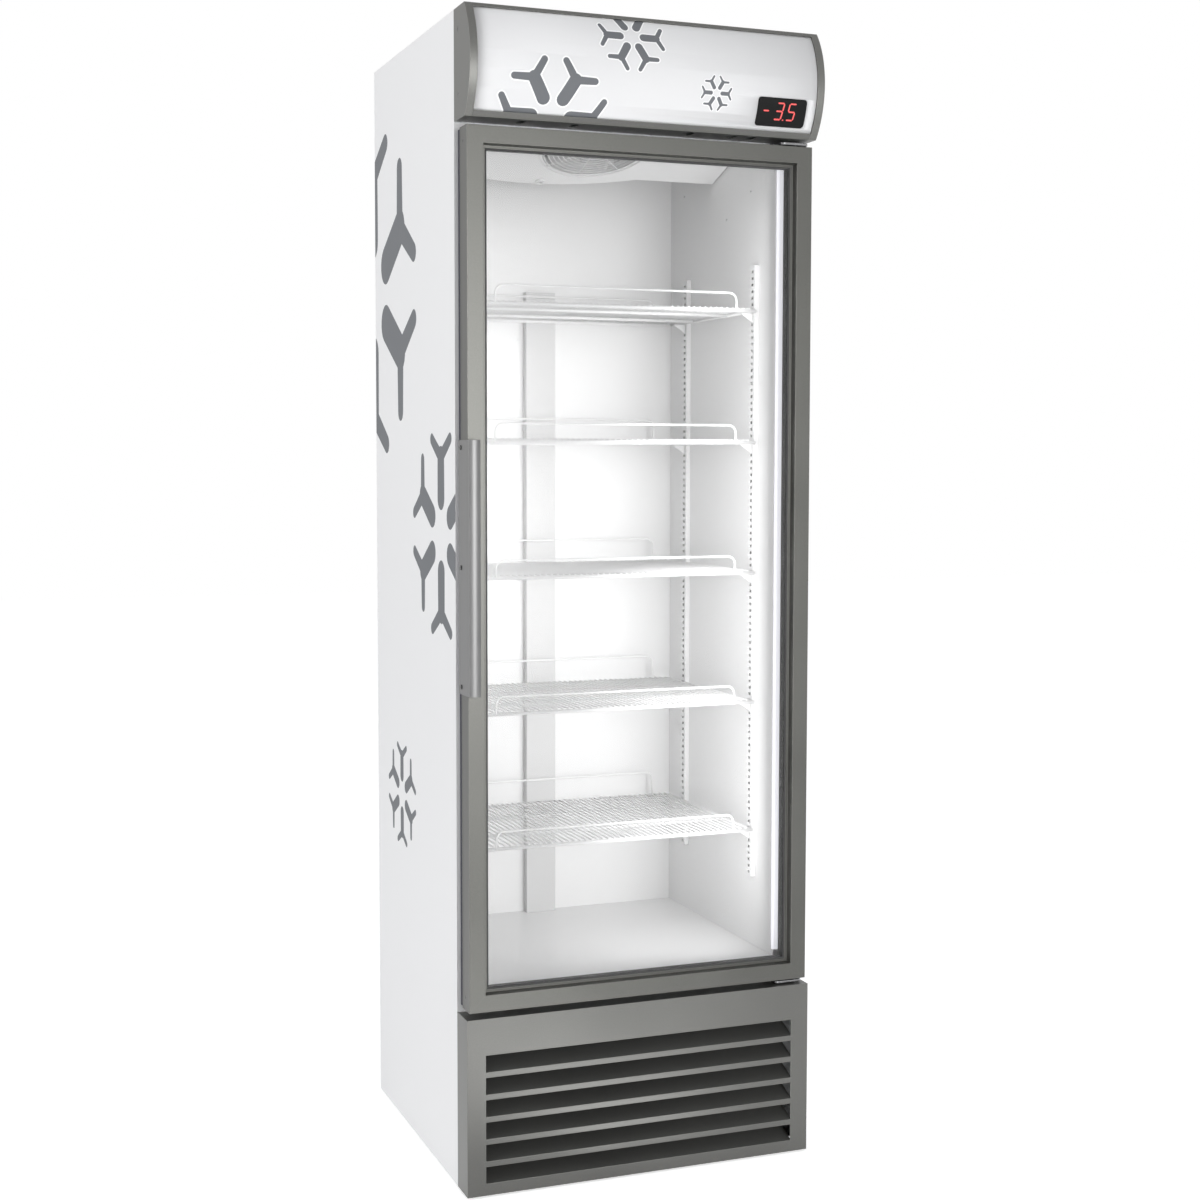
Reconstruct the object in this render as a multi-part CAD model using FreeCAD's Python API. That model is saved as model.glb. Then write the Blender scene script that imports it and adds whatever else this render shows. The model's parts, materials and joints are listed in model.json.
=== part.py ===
import FreeCAD, Part
import math
import os

# Upright display refrigerator with one glass door, a lit canopy above it and a louvred grille
# below it.  Millimetres.  +Z is up, +Y is the back, -Y the front, +X the right seen from the front.
# The origin is on the floor, in the middle of the overall width and depth.

# ---------------------------------------------------------------- driving dimensions

# overall
OVERALL_WIDTH = 640.0
OVERALL_HEIGHT = 1990.0
BODY_DEPTH = 535.0          # the side panels, front edge to back edge
CANOPY_LIP = 60.0           # the canopy's top and bottom edges, ahead of the side panels
CANOPY_BULGE = 92.0         # the canopy's middle, ahead of the side panels
CANOPY_HEIGHT = 182.0
FLOOR_GAP = 4.0             # the panels' lower edge above the floor

# sheet metal and insulation
SHEET = 1.0
LINER_SHEET = 1.0
SIDE_WALL = 42.0            # outer skin, foam and liner together
BACK_WALL = 53.0
CEILING_WALL = 46.0
FLOOR_WALL = 45.0
HEADER_DEPTH = 54.0         # insulated beam over the door, behind the body's front plane
FRAME_DEPTH = 14.0          # plastic frame around the door opening
HEADER_FRAME = 30.0         # height of that frame's upper bar

# front grille and machine compartment
GRILLE_PROUD = 57.5
GRILLE_TOP = 309.0
DECK_DROP = 5.0             # the deck's top below the grille's top
GRILLE_SHEET = 1.2
GRILLE_SLOTS = 6
SLOT_HEIGHT = 29.0
SLOT_PITCH = 38.5
SLOT_FIRST = 20.5           # the lowest slot's lower edge above the grille's lower edge
SLOT_MARGIN = 33.0          # the grille's side edge to the slot's end
BLADE_DEPTH = 40.0
BLADE_RISE = 16.0
PAN_BOTTOM = 8.0
PAN_SHEET = 1.5
PAN_RIM = 30.0
DECK_SHEET = 2.0            # the steel deck that carries the insulated cabinet
BEAM_HEIGHT = 42.0
POST = 30.0
POST_SHEET = 2.0
REAR_SLOT_HEIGHT = 7.0
REAR_SLOT_PITCH = 17.0
REAR_SLOT_FIRST = 95.0      # the lowest air slot's lower edge above the floor
REAR_SLOT_BELOW_DECK = 32.0
REAR_SLOT_X = (40.0, 90.0)  # inner end from the middle, outer end from the side

# door
DOOR_SIDE_GAP = 5.0         # the door's side edge inside the cabinet's side
DOOR_GAP_BELOW = 11.0
DOOR_GAP_ABOVE = 12.0
DOOR_THICKNESS = 40.0
DOOR_STANDOFF = 15.5        # the door's rear face ahead of the body's front plane
STILE_FACE = 28.5
STILE_REVEAL = 2.0          # draft of the reveal between face and glass
LIP_WIDTH = 4.5             # the glazing lip in front of the glass
LIP_SHEET = 1.5
PANE = 4.0
PANE_GAP = 12.0
PANE_EDGE_GAP = 1.0
POCKET_UNDERCUT = 6.5       # the glass pocket's bottom behind the stile's face
POCKET_DEPTH = 21.0
POCKET_REAR_WALL = 4.0
SPACER_SHOWS = 2.0          # the spacer beyond the glazing lip
SPACER_WIDTH = 8.0
STILE_WALL = 2.0
STILE_KEY = 45.0            # solid corner at each end of the hollow profiles
GASKET_INSET = 7.0
GASKET_WIDTH = 14.0
GASKET_CLEAR = 0.4

# handle
HANDLE_LENGTH = 425.0
HANDLE_CENTRE_FROM_TOP = 726.0
HANDLE_PLATE = 3.0
HANDLE_AHEAD = 17.5         # the flange's crown ahead of the door's face
HANDLE_BACK = 12.0          # the plate's rear edge ahead of the body's front plane
HANDLE_FLANGE = 20.0
HANDLE_BOW = 2.0
HANDLE_SCREW_FROM_END = 12.5
HANDLE_SCREW_FROM_REAR = 9.5

# hinges
HINGE_FROM_EDGE = 11.0      # pin axis to the door's side edge
HINGE_PIN_R = 4.0
HINGE_CLEAR = 0.05
HINGE_PLATE = 4.0
HINGE_FLANGE = 3.0
HINGE_WIDTH = 54.0
HINGE_FLANGE_HEIGHT = 36.0
HINGE_ABOVE_DOOR = 4.0
HINGE_BELOW_DOOR = 5.0
HINGE_NOSE = 10.0           # the bracket's metal around the pin's axis
HINGE_SCREW_INSET = 10.0
PIN_HEAD = (6.0, 1.8)       # radius and height
BUSH_COLLAR = (9.0, 3.5)
BUSH_R = 6.5
BUSH_DEPTH = 14.0
PIN_DEPTH = 12.0

# screws
SCREW_R = 2.0
SCREW_HEAD_R = 4.0
SCREW_HEAD = 1.8
SCREW_LENGTH = 11.0
SCREW_CLEAR = 0.2

# shelving
SHELF_COUNT = 5
SHELF_SETBACK = 64.0        # the shelf's front edge behind the body's front plane
SHELF_REAR_GAP = 27.0       # the shelf's rear edge to the liner
BAY_BELOW = 220.5           # floor to the lowest shelf
BAY_ABOVE = 256.5           # highest shelf to the evaporator cover
SLOTS_PER_BAY = 20
PILASTER_PROUD = 9.0
PILASTER_WIDTH = 20.0
PILASTER_WALL = 1.5
PILASTER_SETBACK = 76.0
PILASTER_REAR_GAP = 79.0    # the rear upright's rear edge to the liner
PILASTER_BELOW = 90.0
PILASTER_ABOVE = 84.0
PILASTER_SLOT = (8.0, 5.0)
SHELF_CLEAR = 1.0
SHELF_BAR = 6.0
SHELF_EDGE_BAR = 8.0
SHELF_WIRE = 3.0
SHELF_WIRES = 48
CROSS_BAR_INSET = 118.0
RAIL_WIRE_R = 2.0
RAIL_FRONT_HEIGHT = 28.0
RAIL_REAR_HEIGHT = 45.0
RAIL_INSET = 40.0
RAIL_CORNER = 14.0
CLIP_REACH = 24.0
CLIP_DROP = 16.0
CLIP_SHEET = 3.0
CLIP_TONGUE_DROP = 8.0

# evaporator
COVER_SLOPE = 18.93         # degrees, falling towards the back
COVER_REAR = 280.0          # the cover's straight rear edge behind the body's front plane
COVER_SHEET = 1.5
COVER_RIM = 14.0
COVER_CLEAR = 2.0
COVER_BULGE = 38.0
BULGE_CENTRE = -78.5
BULGE_HALF = 197.5
SPIGOT_SIDE = 15.0           # the drain spigot's middle, to the side of the lip's middle
SPIGOT_BACK = 12.0           # its middle behind the lip
SPIGOT_R = 9.0
SPIGOT_DROP = 5.0
SPIGOT_BORE_R = 4.0
FAN_CENTRE = 105.0          # fan axis ahead of the cover's rear edge, along the slope
FAN_HOLE_R = 98.0
FAN_TIP_CLEAR = 6.0
FAN_DEPTH = 20.0
FAN_LIFT = 3.0              # the wheel's lower face above the cover's lower face
SHAFT_R = 3.0
GUARD_LAP = 6.0
GUARD_RINGS = 10
GUARD_HUB_R = 20.0
GUARD_WIRE = 1.8
COIL_SIDE_GAP = 43.0
COIL_DEPTH = 230.0
COIL_ABOVE_COVER = 113.8    # the coil's lower face above the cover's rear edge
DUCT_WIDTH = 60.0
DUCT_PROUD = 18.0
DUCT_SHEET = 1.5
DUCT_CENTRE = -7.0
DUCT_BELOW_COVER = 199.0
LAMP_SECTION = (10.4, 9.2)
LAMP_CLEAR = 0.3

# canopy
CAP_THICKNESS = 13.0
PANEL_RECESS = 2.5
PANEL_SHEET = 2.0
TRIM_TOP = 6.5
TRIM_BOTTOM = 9.0
TRIM_DEPTH = 7.0
PART_CLEAR = 0.3
DISPLAY_SIZE = (92.0, 45.0)
DISPLAY_FROM_EDGE = 77.5
DISPLAY_ABOVE = 39.5
DISPLAY_PROUD = 1.2
DISPLAY_DEPTH = 22.0
DISPLAY_CORNER = 5.0
CANOPY_SCREW_SETBACK = 24.0 # ahead of the body's front plane
CANOPY_SCREW_LEVELS = (41.0, 146.0)
CANOPY_LAMP_INSET = 55.0
VENT_CENTRES = (-0.70, -0.40, 0.29, 0.55, 0.67)     # as parts of the trim's half length
VENT_SIZE = (10.0, 28.0)
VENT_AHEAD = 21.0

# machine compartment contents
CONDENSER_LEFT = 60.0       # its ends inside the cabinet's sides
CONDENSER_RIGHT = 180.0
CONDENSER_DEPTH = 45.0
CONDENSER_LIFT = 4.0
CONDENSER_BELOW_DECK = 54.5
CONDENSER_SETBACK = 26.0
CONDENSER_FAN_RIM = 9.0     # metal around the fan's hole
CONDENSER_FAN_TIP_CLEAR = 5.0
CONDENSER_FAN_DEPTH = 26.0
CONDENSER_FAN_START = 4.0
SHROUD_DEPTH = 22.0
COMPRESSOR_R = 78.0
COMPRESSOR_BELOW_DECK = 100.5
COMPRESSOR_SIDE = 170.0     # its axis inside the cabinet's right side
COMPRESSOR_FROM_BACK = 140.0
COMPRESSOR_PLATE = (98.0, 72.0, 3.0)    # half width, half depth, thickness
COMPRESSOR_CAN_LIFT = 8.0   # the can's lowest point above the foot plate's lower face
GROMMET_PLACE = (82.0, 58.0)
GROMMET_HEIGHT = 18.0
TUBE_R = 4.0
TUBE_BEND = 14.0
LIQUID_LEVEL = 60.0
OUTLET_BELOW_DECK = 54.0
SUCTION_BELOW_DECK = 42.0
DISCHARGE_BELOW_DECK = 69.5
DRIER_LENGTH = 90.0
DRIER_R = 14.0
TRAY_WALL = 2.0
TRAY_CORNER = 12.0
GLAND_PLACE = (70.0, 60.0)  # inside the left side, above the floor
GLAND_R = 9.0
GLAND_BORE_R = 5.0
GLAND_LENGTH = 14.0
BOX_FROM_SIDE = 46.0
BOX_SIZE = (110.0, 40.0, 80.0)
FOOT_R = 19.0
FOOT_PAD = 6.0
FOOT_STEM_R = 5.0
FOOT_INSET = 50.0

# ---------------------------------------------------------------- levels and planes

HALF_W = OVERALL_WIDTH / 2
BACK = (BODY_DEPTH + CANOPY_BULGE) / 2
FRONT = BACK - BODY_DEPTH
SKIN_IN = HALF_W - SHEET
LINER_X = HALF_W - SIDE_WALL
LINER_BACK = BACK - BACK_WALL
DECK_TOP = GRILLE_TOP - DECK_DROP
MACHINE_FLOOR = PAN_BOTTOM + PAN_SHEET
FLOOR_Z = DECK_TOP + FLOOR_WALL
CEILING_Z = OVERALL_HEIGHT - CEILING_WALL
CANOPY_BOTTOM = OVERALL_HEIGHT - CANOPY_HEIGHT
CANOPY_MID = OVERALL_HEIGHT - CANOPY_HEIGHT / 2
DOOR_TOP = CANOPY_BOTTOM - DOOR_GAP_ABOVE
DOOR_BOTTOM = GRILLE_TOP + DOOR_GAP_BELOW
DOOR_HALF = HALF_W - DOOR_SIDE_GAP
DOOR_REAR = FRONT - DOOR_STANDOFF
DOOR_FRONT = DOOR_REAR - DOOR_THICKNESS
FRAME_TOP = CANOPY_BOTTOM - 2.0
OPENING_TOP = FRAME_TOP - HEADER_FRAME
REVEAL_DEPTH = DOOR_THICKNESS - LIP_SHEET - POCKET_DEPTH - POCKET_REAR_WALL
GLASS_LIP = STILE_FACE + STILE_REVEAL + LIP_WIDTH       # the door's edge to the lip's free edge
GLASS_POCKET = STILE_FACE - POCKET_UNDERCUT
SPACER_INNER = GLASS_LIP + SPACER_SHOWS
HANDLE_X = -DOOR_HALF - HANDLE_PLATE
HANDLE_CENTRE = DOOR_TOP - HANDLE_CENTRE_FROM_TOP
HINGE_X = DOOR_HALF - HINGE_FROM_EDGE
HINGE_Y = DOOR_FRONT + DOOR_THICKNESS / 2
COVER_LOW = OPENING_TOP
SHELF_FIRST = FLOOR_Z + BAY_BELOW
SHELF_STEP = (COVER_LOW - BAY_ABOVE - SHELF_FIRST) / (SHELF_COUNT - 1)
SHELF_LEVELS = [SHELF_FIRST + SHELF_STEP * i for i in range(SHELF_COUNT)]
PILASTER_FACE = LINER_X - PILASTER_PROUD
SHELF_HALF = PILASTER_FACE - SHELF_CLEAR
SHELF_FRONT = FRONT + SHELF_SETBACK
SHELF_BACK = LINER_BACK - SHELF_REAR_GAP
PILASTER_ROWS = (FRONT + PILASTER_SETBACK, LINER_BACK - PILASTER_REAR_GAP - PILASTER_WIDTH)
FAN_R = FAN_HOLE_R - FAN_TIP_CLEAR
GUARD_R = FAN_HOLE_R + GUARD_LAP
COIL_HALF = LINER_X - COIL_SIDE_GAP
COIL_BOTTOM = COVER_LOW + COIL_ABOVE_COVER
CONDENSER_LENGTH = OVERALL_WIDTH - CONDENSER_LEFT - CONDENSER_RIGHT
CONDENSER_X = (CONDENSER_LEFT - CONDENSER_RIGHT) / 2
CONDENSER_BOTTOM = MACHINE_FLOOR + CONDENSER_LIFT
CONDENSER_HEIGHT = DECK_TOP - CONDENSER_BELOW_DECK - CONDENSER_BOTTOM
CONDENSER_FAN_HOLE_R = CONDENSER_HEIGHT / 2 - CONDENSER_FAN_RIM

# the canopy's front is an arc through its two lips and its middle
ARC_RISE = CANOPY_BULGE - CANOPY_LIP
ARC_R = (CANOPY_HEIGHT ** 2 / 4 + ARC_RISE ** 2) / (2 * ARC_RISE)
ARC_Y = FRONT - CANOPY_BULGE + ARC_R

V = FreeCAD.Vector
X_AXIS = V(1, 0, 0)
Y_AXIS = V(0, 1, 0)
Z_AXIS = V(0, 0, 1)


# ---------------------------------------------------------------- helpers

def box(x, y, z):
    """A box from three (low, high) pairs."""
    return Part.makeBox(x[1] - x[0], y[1] - y[0], z[1] - z[0], V(x[0], y[0], z[0]))


def across(half):
    """The pair that is centred on zero."""
    return (-half, half)


def rod(radius, length, base, axis=Z_AXIS):
    return Part.makeCylinder(radius, length, base, axis)


def prism(points, direction):
    """A straight-edged outline, pushed along a direction."""
    wire = Part.makePolygon([V(*p) for p in points] + [V(*points[0])])
    return Part.Face(wire).extrude(direction)


def hexagon(radius, first, second):
    """Six corners around the origin, in the plane of two directions."""
    turns = [math.radians(60 * i) for i in range(6)]
    return [first * (radius * math.cos(t)) + second * (radius * math.sin(t)) for t in turns]


def fuse(shapes):
    shapes = list(shapes)
    return shapes[0].multiFuse(shapes[1:]).removeSplitter()


def cut(shape, tools):
    tools = list(tools)
    return shape.cut(tools) if tools else shape


def mirrored(shape):
    """The same piece on the other side of the object's middle plane."""
    return shape.mirror(V(0, 0, 0), X_AXIS)


def moved(shape, offset):
    copy = shape.copy()
    copy.translate(offset)
    return copy


def ring(outer_x, outer_z, inset, y):
    """Four mitred bars around a rectangle: outer half width, (low, high), bar width, (front, back)."""
    low, high = outer_z
    body = box(across(outer_x), y, outer_z)
    hole = box(across(outer_x - inset), y, (low + inset, high - inset))
    return mitre(body.cut(hole), outer_x, outer_z, y)


def mitre(body, outer_x, outer_z, y):
    """Cut a rectangular ring along its four corner diagonals."""
    low, high = outer_z
    depth = V(0, y[1] - y[0], 0)
    y0 = y[0]
    left = [(-outer_x, y0, low), (0, y0, low + outer_x), (0, y0, high - outer_x), (-outer_x, y0, high)]
    top = [(-outer_x, y0, high), (0, y0, high - outer_x), (outer_x, y0, high)]
    side = body.common(prism(left, depth))
    head = body.common(prism(top, depth))
    middle = (low + high) / 2
    return [side, mirrored(side), head, head.mirror(V(0, 0, middle), Z_AXIS)]


def screw(head_face, direction):
    """A screw whose head's outer face is centred on head_face, pointing along direction."""
    head = rod(SCREW_HEAD_R, SCREW_HEAD, head_face, direction)
    shank = rod(SCREW_R, SCREW_LENGTH, head_face + direction * SCREW_HEAD, direction)
    return head.fuse(shank).removeSplitter()


def screw_hole(head_face, direction):
    """The room a screw needs where it is let in flush."""
    start = head_face - direction
    head = rod(SCREW_HEAD_R + SCREW_CLEAR, SCREW_HEAD + 1, start, direction)
    shank = rod(SCREW_R + SCREW_CLEAR, SCREW_HEAD + SCREW_LENGTH + 2, start, direction)
    return head.fuse(shank)


def tube(points, radius, bend):
    """A round tube along straight runs that are joined by tangent arcs."""
    edges = []
    start = V(*points[0])
    for before, corner, after in zip(points, points[1:], points[2:]):
        before, corner, after = V(*before), V(*corner), V(*after)
        towards_before = (before - corner).normalize()
        towards_after = (after - corner).normalize()
        half = towards_before.getAngle(towards_after) / 2
        reach = bend / math.tan(half)
        enter = corner + towards_before * reach
        leave = corner + towards_after * reach
        bisector = (towards_before + towards_after).normalize()
        centre = corner + bisector * (bend / math.sin(half))
        edges.append(Part.LineSegment(start, enter).toShape())
        edges.append(Part.Arc(enter, centre - bisector * bend, leave).toShape())
        start = leave
    edges.append(Part.LineSegment(start, V(*points[-1])).toShape())
    path = Part.Wire(edges)
    heading = (V(*points[1]) - V(*points[0])).normalize()
    profile = Part.Wire(Part.makeCircle(radius, V(*points[0]), heading))
    return path.makePipeShell([profile], True, False)


def save(name, shapes):
    shapes = shapes if isinstance(shapes, list) else [shapes]
    shape = shapes[0] if len(shapes) == 1 else Part.makeCompound(shapes)
    shape.exportStep(os.path.join("parts", name + ".step"))


# ---------------------------------------------------------------- cabinet shell

def side_panel():
    return box((SKIN_IN, HALF_W), (FRONT, BACK), (FLOOR_GAP, OVERALL_HEIGHT))


def top_panel():
    return box(across(SKIN_IN), (FRONT, BACK - SHEET), (OVERALL_HEIGHT - SHEET, OVERALL_HEIGHT))


def rear_panel():
    return box(across(SKIN_IN), (BACK - SHEET, BACK), (DECK_TOP, OVERALL_HEIGHT))


def foam_insulation():
    """Foamed slabs between the outer skin and the liner."""
    liner_out = LINER_X + LINER_SHEET
    liner_rear = LINER_BACK + LINER_SHEET
    start = FRONT + FRAME_DEPTH
    top = OVERALL_HEIGHT - SHEET
    skin_back = BACK - SHEET
    ceiling = CEILING_Z + LINER_SHEET
    side = box((liner_out, SKIN_IN), (start, skin_back), (DECK_TOP, top))
    back = box(across(liner_out), (liner_rear, skin_back), (DECK_TOP, top))
    roof = box(across(liner_out), (start, liner_rear), (ceiling, top))
    beam = box(across(liner_out), (start, FRONT + HEADER_DEPTH), (OPENING_TOP + LINER_SHEET, ceiling))
    base = box(across(liner_out), (start, liner_rear), (DECK_TOP, FLOOR_Z - LINER_SHEET))
    return [side, mirrored(side), back, roof, beam, base]


def liner_cavity(grow, front):
    """The inside of the cabinet: the storage space and the evaporator space above it."""
    x = across(LINER_X + grow)
    rear = LINER_BACK + grow
    storage = box(x, (front, rear), (FLOOR_Z - grow, OPENING_TOP + grow))
    above = box(x, (FRONT + HEADER_DEPTH + LINER_SHEET - grow, rear), (OPENING_TOP, CEILING_Z + grow))
    return storage.fuse(above)


def inner_liner():
    start = FRONT + FRAME_DEPTH
    shell = liner_cavity(LINER_SHEET, start)
    return shell.cut(liner_cavity(0, start - 1))


def lamp_place(clear):
    """The room of the lamp in the opening's right corner, as three pairs."""
    width, depth = LAMP_SECTION
    x = (LINER_X, LINER_X + width + 2 * clear)
    y = (FRONT, FRONT + depth + 2 * clear)
    return x, y, (FLOOR_Z + 12 - clear, OPENING_TOP - 12 + clear)


def front_frame():
    """Plastic thermal break around the opening, rebated on the right for the lamp."""
    y = (FRONT, FRONT + FRAME_DEPTH)
    right = box((LINER_X, SKIN_IN), y, (DECK_TOP, FRAME_TOP))
    left = mirrored(right)
    right = right.cut(box(*lamp_place(LAMP_CLEAR)))
    upper = box(across(LINER_X), y, (OPENING_TOP, FRAME_TOP))
    lower = box(across(LINER_X), y, (DECK_TOP, FLOOR_Z))
    return [left, right, upper, lower]


def interior_lamp():
    """Upright light strip with a rounded lens towards the inside."""
    x, y, z = lamp_place(0)
    body = box((x[0] + LAMP_CLEAR, x[1] + LAMP_CLEAR), (y[0] + LAMP_CLEAR, y[1] + LAMP_CLEAR), z)
    edges = [e for e in body.Edges if e.BoundBox.ZLength > 100 and e.BoundBox.XMax < x[0] + 1]
    return body.makeFillet(LAMP_SECTION[1] * 0.4, edges)


# ---------------------------------------------------------------- base

def corner_post(side, rear, top, outer):
    """Upright angle in one corner of the chassis, open towards the middle."""
    inner = SKIN_IN - POST
    t = POST_SHEET
    y0 = BACK - 2 - PAN_SHEET - POST if rear else FRONT + 1 + t
    body = box((inner, outer), (y0, y0 + POST), (MACHINE_FLOOR, top))
    gap = (y0 - 1, y0 + POST - t) if rear else (y0 + t, y0 + POST + 1)
    post = body.cut(box((inner - 1, outer - t), gap, (MACHINE_FLOOR - 1, top + 1)))
    return post if side > 0 else mirrored(post)


def foot_places():
    x = HALF_W - FOOT_INSET
    return [V(sx * x, y, 0) for sx in (-1, 1) for y in (FRONT + FOOT_INSET, BACK - FOOT_INSET)]


def base_frame():
    """Welded chassis: a pan, a deck, four corner posts and a beam for the lower hinge."""
    half = SKIN_IN - 0.2
    y = (FRONT + 1, BACK - 2)
    rim_z = (MACHINE_FLOOR, PAN_BOTTOM + PAN_RIM)
    holes = [rod(FOOT_STEM_R + 0.4, 20, p) for p in foot_places()]
    pan = box(across(half), y, (PAN_BOTTOM, MACHINE_FLOOR)).cut(holes)
    rim = box((half - PAN_SHEET, half), y, rim_z)
    rear_rim = box(across(half - PAN_SHEET), (y[1] - PAN_SHEET, y[1]), rim_z)
    top = DECK_TOP - DECK_SHEET
    deck = box(across(half), y, (top, DECK_TOP))
    corners = [(side, rear) for side in (-1, 1) for rear in (False, True)]
    posts = [corner_post(side, rear, top, half - PAN_SHEET) for side, rear in corners]
    beam = box(across(half), (y[0], y[0] + POST_SHEET), (top - BEAM_HEIGHT, top))
    screws = [screw_hole(p, Y_AXIS) for p in hinge_screws(False)]
    beam = beam.cut(screws)
    posts = [post.cut(screws) for post in posts]
    return [pan, rim, mirrored(rim), rear_rim, deck, beam] + posts


def levelling_foot(place):
    """Round pad, threaded stem and lock nut."""
    pad = rod(FOOT_R, FOOT_PAD, place)
    stem = rod(FOOT_STEM_R, 34, place + V(0, 0, FOOT_PAD))
    nut = moved(prism(hexagon(9, X_AXIS, Y_AXIS), V(0, 0, 7)), place + V(0, 0, MACHINE_FLOOR))
    return fuse([pad, stem, nut])


def slot_levels():
    return [FLOOR_GAP + SLOT_FIRST + SLOT_PITCH * i for i in range(GRILLE_SLOTS)]


def front_grille():
    """Folded sheet tray with louvre blades that rise towards the back from each slot."""
    y0 = FRONT - GRILLE_PROUD
    z = (FLOOR_GAP, GRILLE_TOP)
    t = GRILLE_SHEET
    slot_half = HALF_W - SLOT_MARGIN
    tray = box(across(HALF_W), (y0, FRONT - 0.2), z)
    inside = box(across(HALF_W - t), (y0 + t, FRONT), (z[0] + t, z[1] - t))
    notch = box(across(HALF_W - t), (FRONT - 4, FRONT), (z[1] - t - 1, z[1] + 1))
    slots = [box(across(slot_half), (y0 - 1, y0 + t + 1), (s, s + SLOT_HEIGHT)) for s in slot_levels()]
    tray = tray.cut([inside, notch] + slots)
    blades = []
    for s in slot_levels():
        low, far = s - t, y0 + t / 2 + BLADE_DEPTH
        outline = [
            (-slot_half - 2, y0 + t / 2, low),
            (-slot_half - 2, far, low + BLADE_RISE),
            (-slot_half - 2, far, low + BLADE_RISE + t),
            (-slot_half - 2, y0 + t / 2, low + t),
        ]
        blades.append(prism(outline, V(2 * slot_half + 4, 0, 0)))
    return fuse([tray] + blades)


def gland_place():
    return V(-HALF_W + GLAND_PLACE[0], BACK, GLAND_PLACE[1])


def gland_hole():
    return rod(GLAND_R + 0.2, 40, gland_place() - V(0, 20, 0), Y_AXIS)


def rear_grille():
    """Pressed steel cover over the machine compartment, with two columns of air slots."""
    plate = box(across(SKIN_IN - 0.2), (BACK - SHEET, BACK), (PAN_BOTTOM, DECK_TOP - 0.5))
    rows = int((DECK_TOP - REAR_SLOT_BELOW_DECK - REAR_SLOT_HEIGHT - REAR_SLOT_FIRST) // REAR_SLOT_PITCH) + 1
    slots = []
    for row in range(rows):
        z = REAR_SLOT_FIRST + row * REAR_SLOT_PITCH
        x = (REAR_SLOT_X[0], HALF_W - REAR_SLOT_X[1])
        slot = box(x, (BACK - 5, BACK + 5), (z, z + REAR_SLOT_HEIGHT))
        slots += [slot, mirrored(slot)]
    return plate.cut(slots + [gland_hole()])


# ---------------------------------------------------------------- canopy

def arc_solid(outer_recess, inner_recess, half, z):
    """A slice of the canopy's curved front, between two depths below its surface."""
    base = V(-half, ARC_Y, CANOPY_MID)
    outer = rod(ARC_R - outer_recess, 2 * half, base, X_AXIS)
    inner = rod(ARC_R - inner_recess, 2 * half + 2, base - V(1, 0, 0), X_AXIS)
    window = box(across(half), (FRONT - CANOPY_BULGE - 1, FRONT - 1), z)
    return outer.cut(inner).common(window)


def canopy_screw_places(side):
    y = FRONT - CANOPY_SCREW_SETBACK
    return [V(side * HALF_W, y, CANOPY_BOTTOM + level) for level in CANOPY_SCREW_LEVELS]


def canopy_cap(side):
    """End cheek: flat, with the canopy's arc as its front edge."""
    lip = FRONT - CANOPY_LIP
    x = HALF_W - CAP_THICKNESS
    bottom_rear, bottom_lip = V(x, FRONT, CANOPY_BOTTOM), V(x, lip, CANOPY_BOTTOM)
    top_rear, top_lip = V(x, FRONT, OVERALL_HEIGHT), V(x, lip, OVERALL_HEIGHT)
    nose = V(x, FRONT - CANOPY_BULGE, CANOPY_MID)
    edges = [
        Part.LineSegment(top_rear, bottom_rear).toShape(),
        Part.LineSegment(bottom_rear, bottom_lip).toShape(),
        Part.Arc(bottom_lip, nose, top_lip).toShape(),
        Part.LineSegment(top_lip, top_rear).toShape(),
    ]
    cheek = Part.Face(Part.Wire(edges)).extrude(V(CAP_THICKNESS, 0, 0))
    cheek = cheek if side > 0 else mirrored(cheek)
    inward = V(-side, 0, 0)
    return cheek.cut([screw_hole(p, inward) for p in canopy_screw_places(side)])


def canopy_trim(z, plate_z, slots):
    """Extruded edge: a lip that follows the arc, and the plate behind it."""
    half = HALF_W - CAP_THICKNESS - PART_CLEAR
    lip = arc_solid(0, TRIM_DEPTH, half, z)
    plate = box(across(half), (FRONT - CANOPY_LIP + 3, FRONT - 4), plate_z)
    return cut(fuse([lip, plate]), slots)


def canopy_trim_top():
    top = OVERALL_HEIGHT
    return canopy_trim((top - TRIM_TOP, top), (top - 1.5, top), [])


def canopy_trim_bottom():
    """The lower trim's plate has openings where the lamp's heat leaves."""
    z = CANOPY_BOTTOM
    half = HALF_W - CAP_THICKNESS
    length, width = VENT_SIZE
    y = (FRONT - VENT_AHEAD - width, FRONT - VENT_AHEAD)
    centres = [half * part for part in VENT_CENTRES]
    slots = [box((x - length / 2, x + length / 2), y, (z - 1, z + 3)) for x in centres]
    return canopy_trim((z, z + TRIM_BOTTOM), (z, z + 1.5), slots)


def display_window(grow):
    """The display's outline with rounded corners, as a prism through the sign panel."""
    width, height = DISPLAY_SIZE
    x = HALF_W - DISPLAY_FROM_EDGE
    z = CANOPY_BOTTOM + DISPLAY_ABOVE
    body = box(
        (x - width / 2 - grow, x + width / 2 + grow),
        (FRONT - CANOPY_BULGE, FRONT - CANOPY_LIP + DISPLAY_DEPTH),
        (z - height / 2 - grow, z + height / 2 + grow),
    )
    edges = [e for e in body.Edges if e.BoundBox.YLength > 5]
    return body.makeFillet(DISPLAY_CORNER, edges)


def sign_panel():
    """Curved translucent front of the canopy, with the display's window."""
    half = HALF_W - CAP_THICKNESS - PART_CLEAR
    z = (CANOPY_BOTTOM + TRIM_BOTTOM + PART_CLEAR, OVERALL_HEIGHT - TRIM_TOP - PART_CLEAR)
    sheet = arc_solid(PANEL_RECESS, PANEL_RECESS + PANEL_SHEET, half, z)
    return sheet.cut(display_window(PART_CLEAR))


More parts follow.
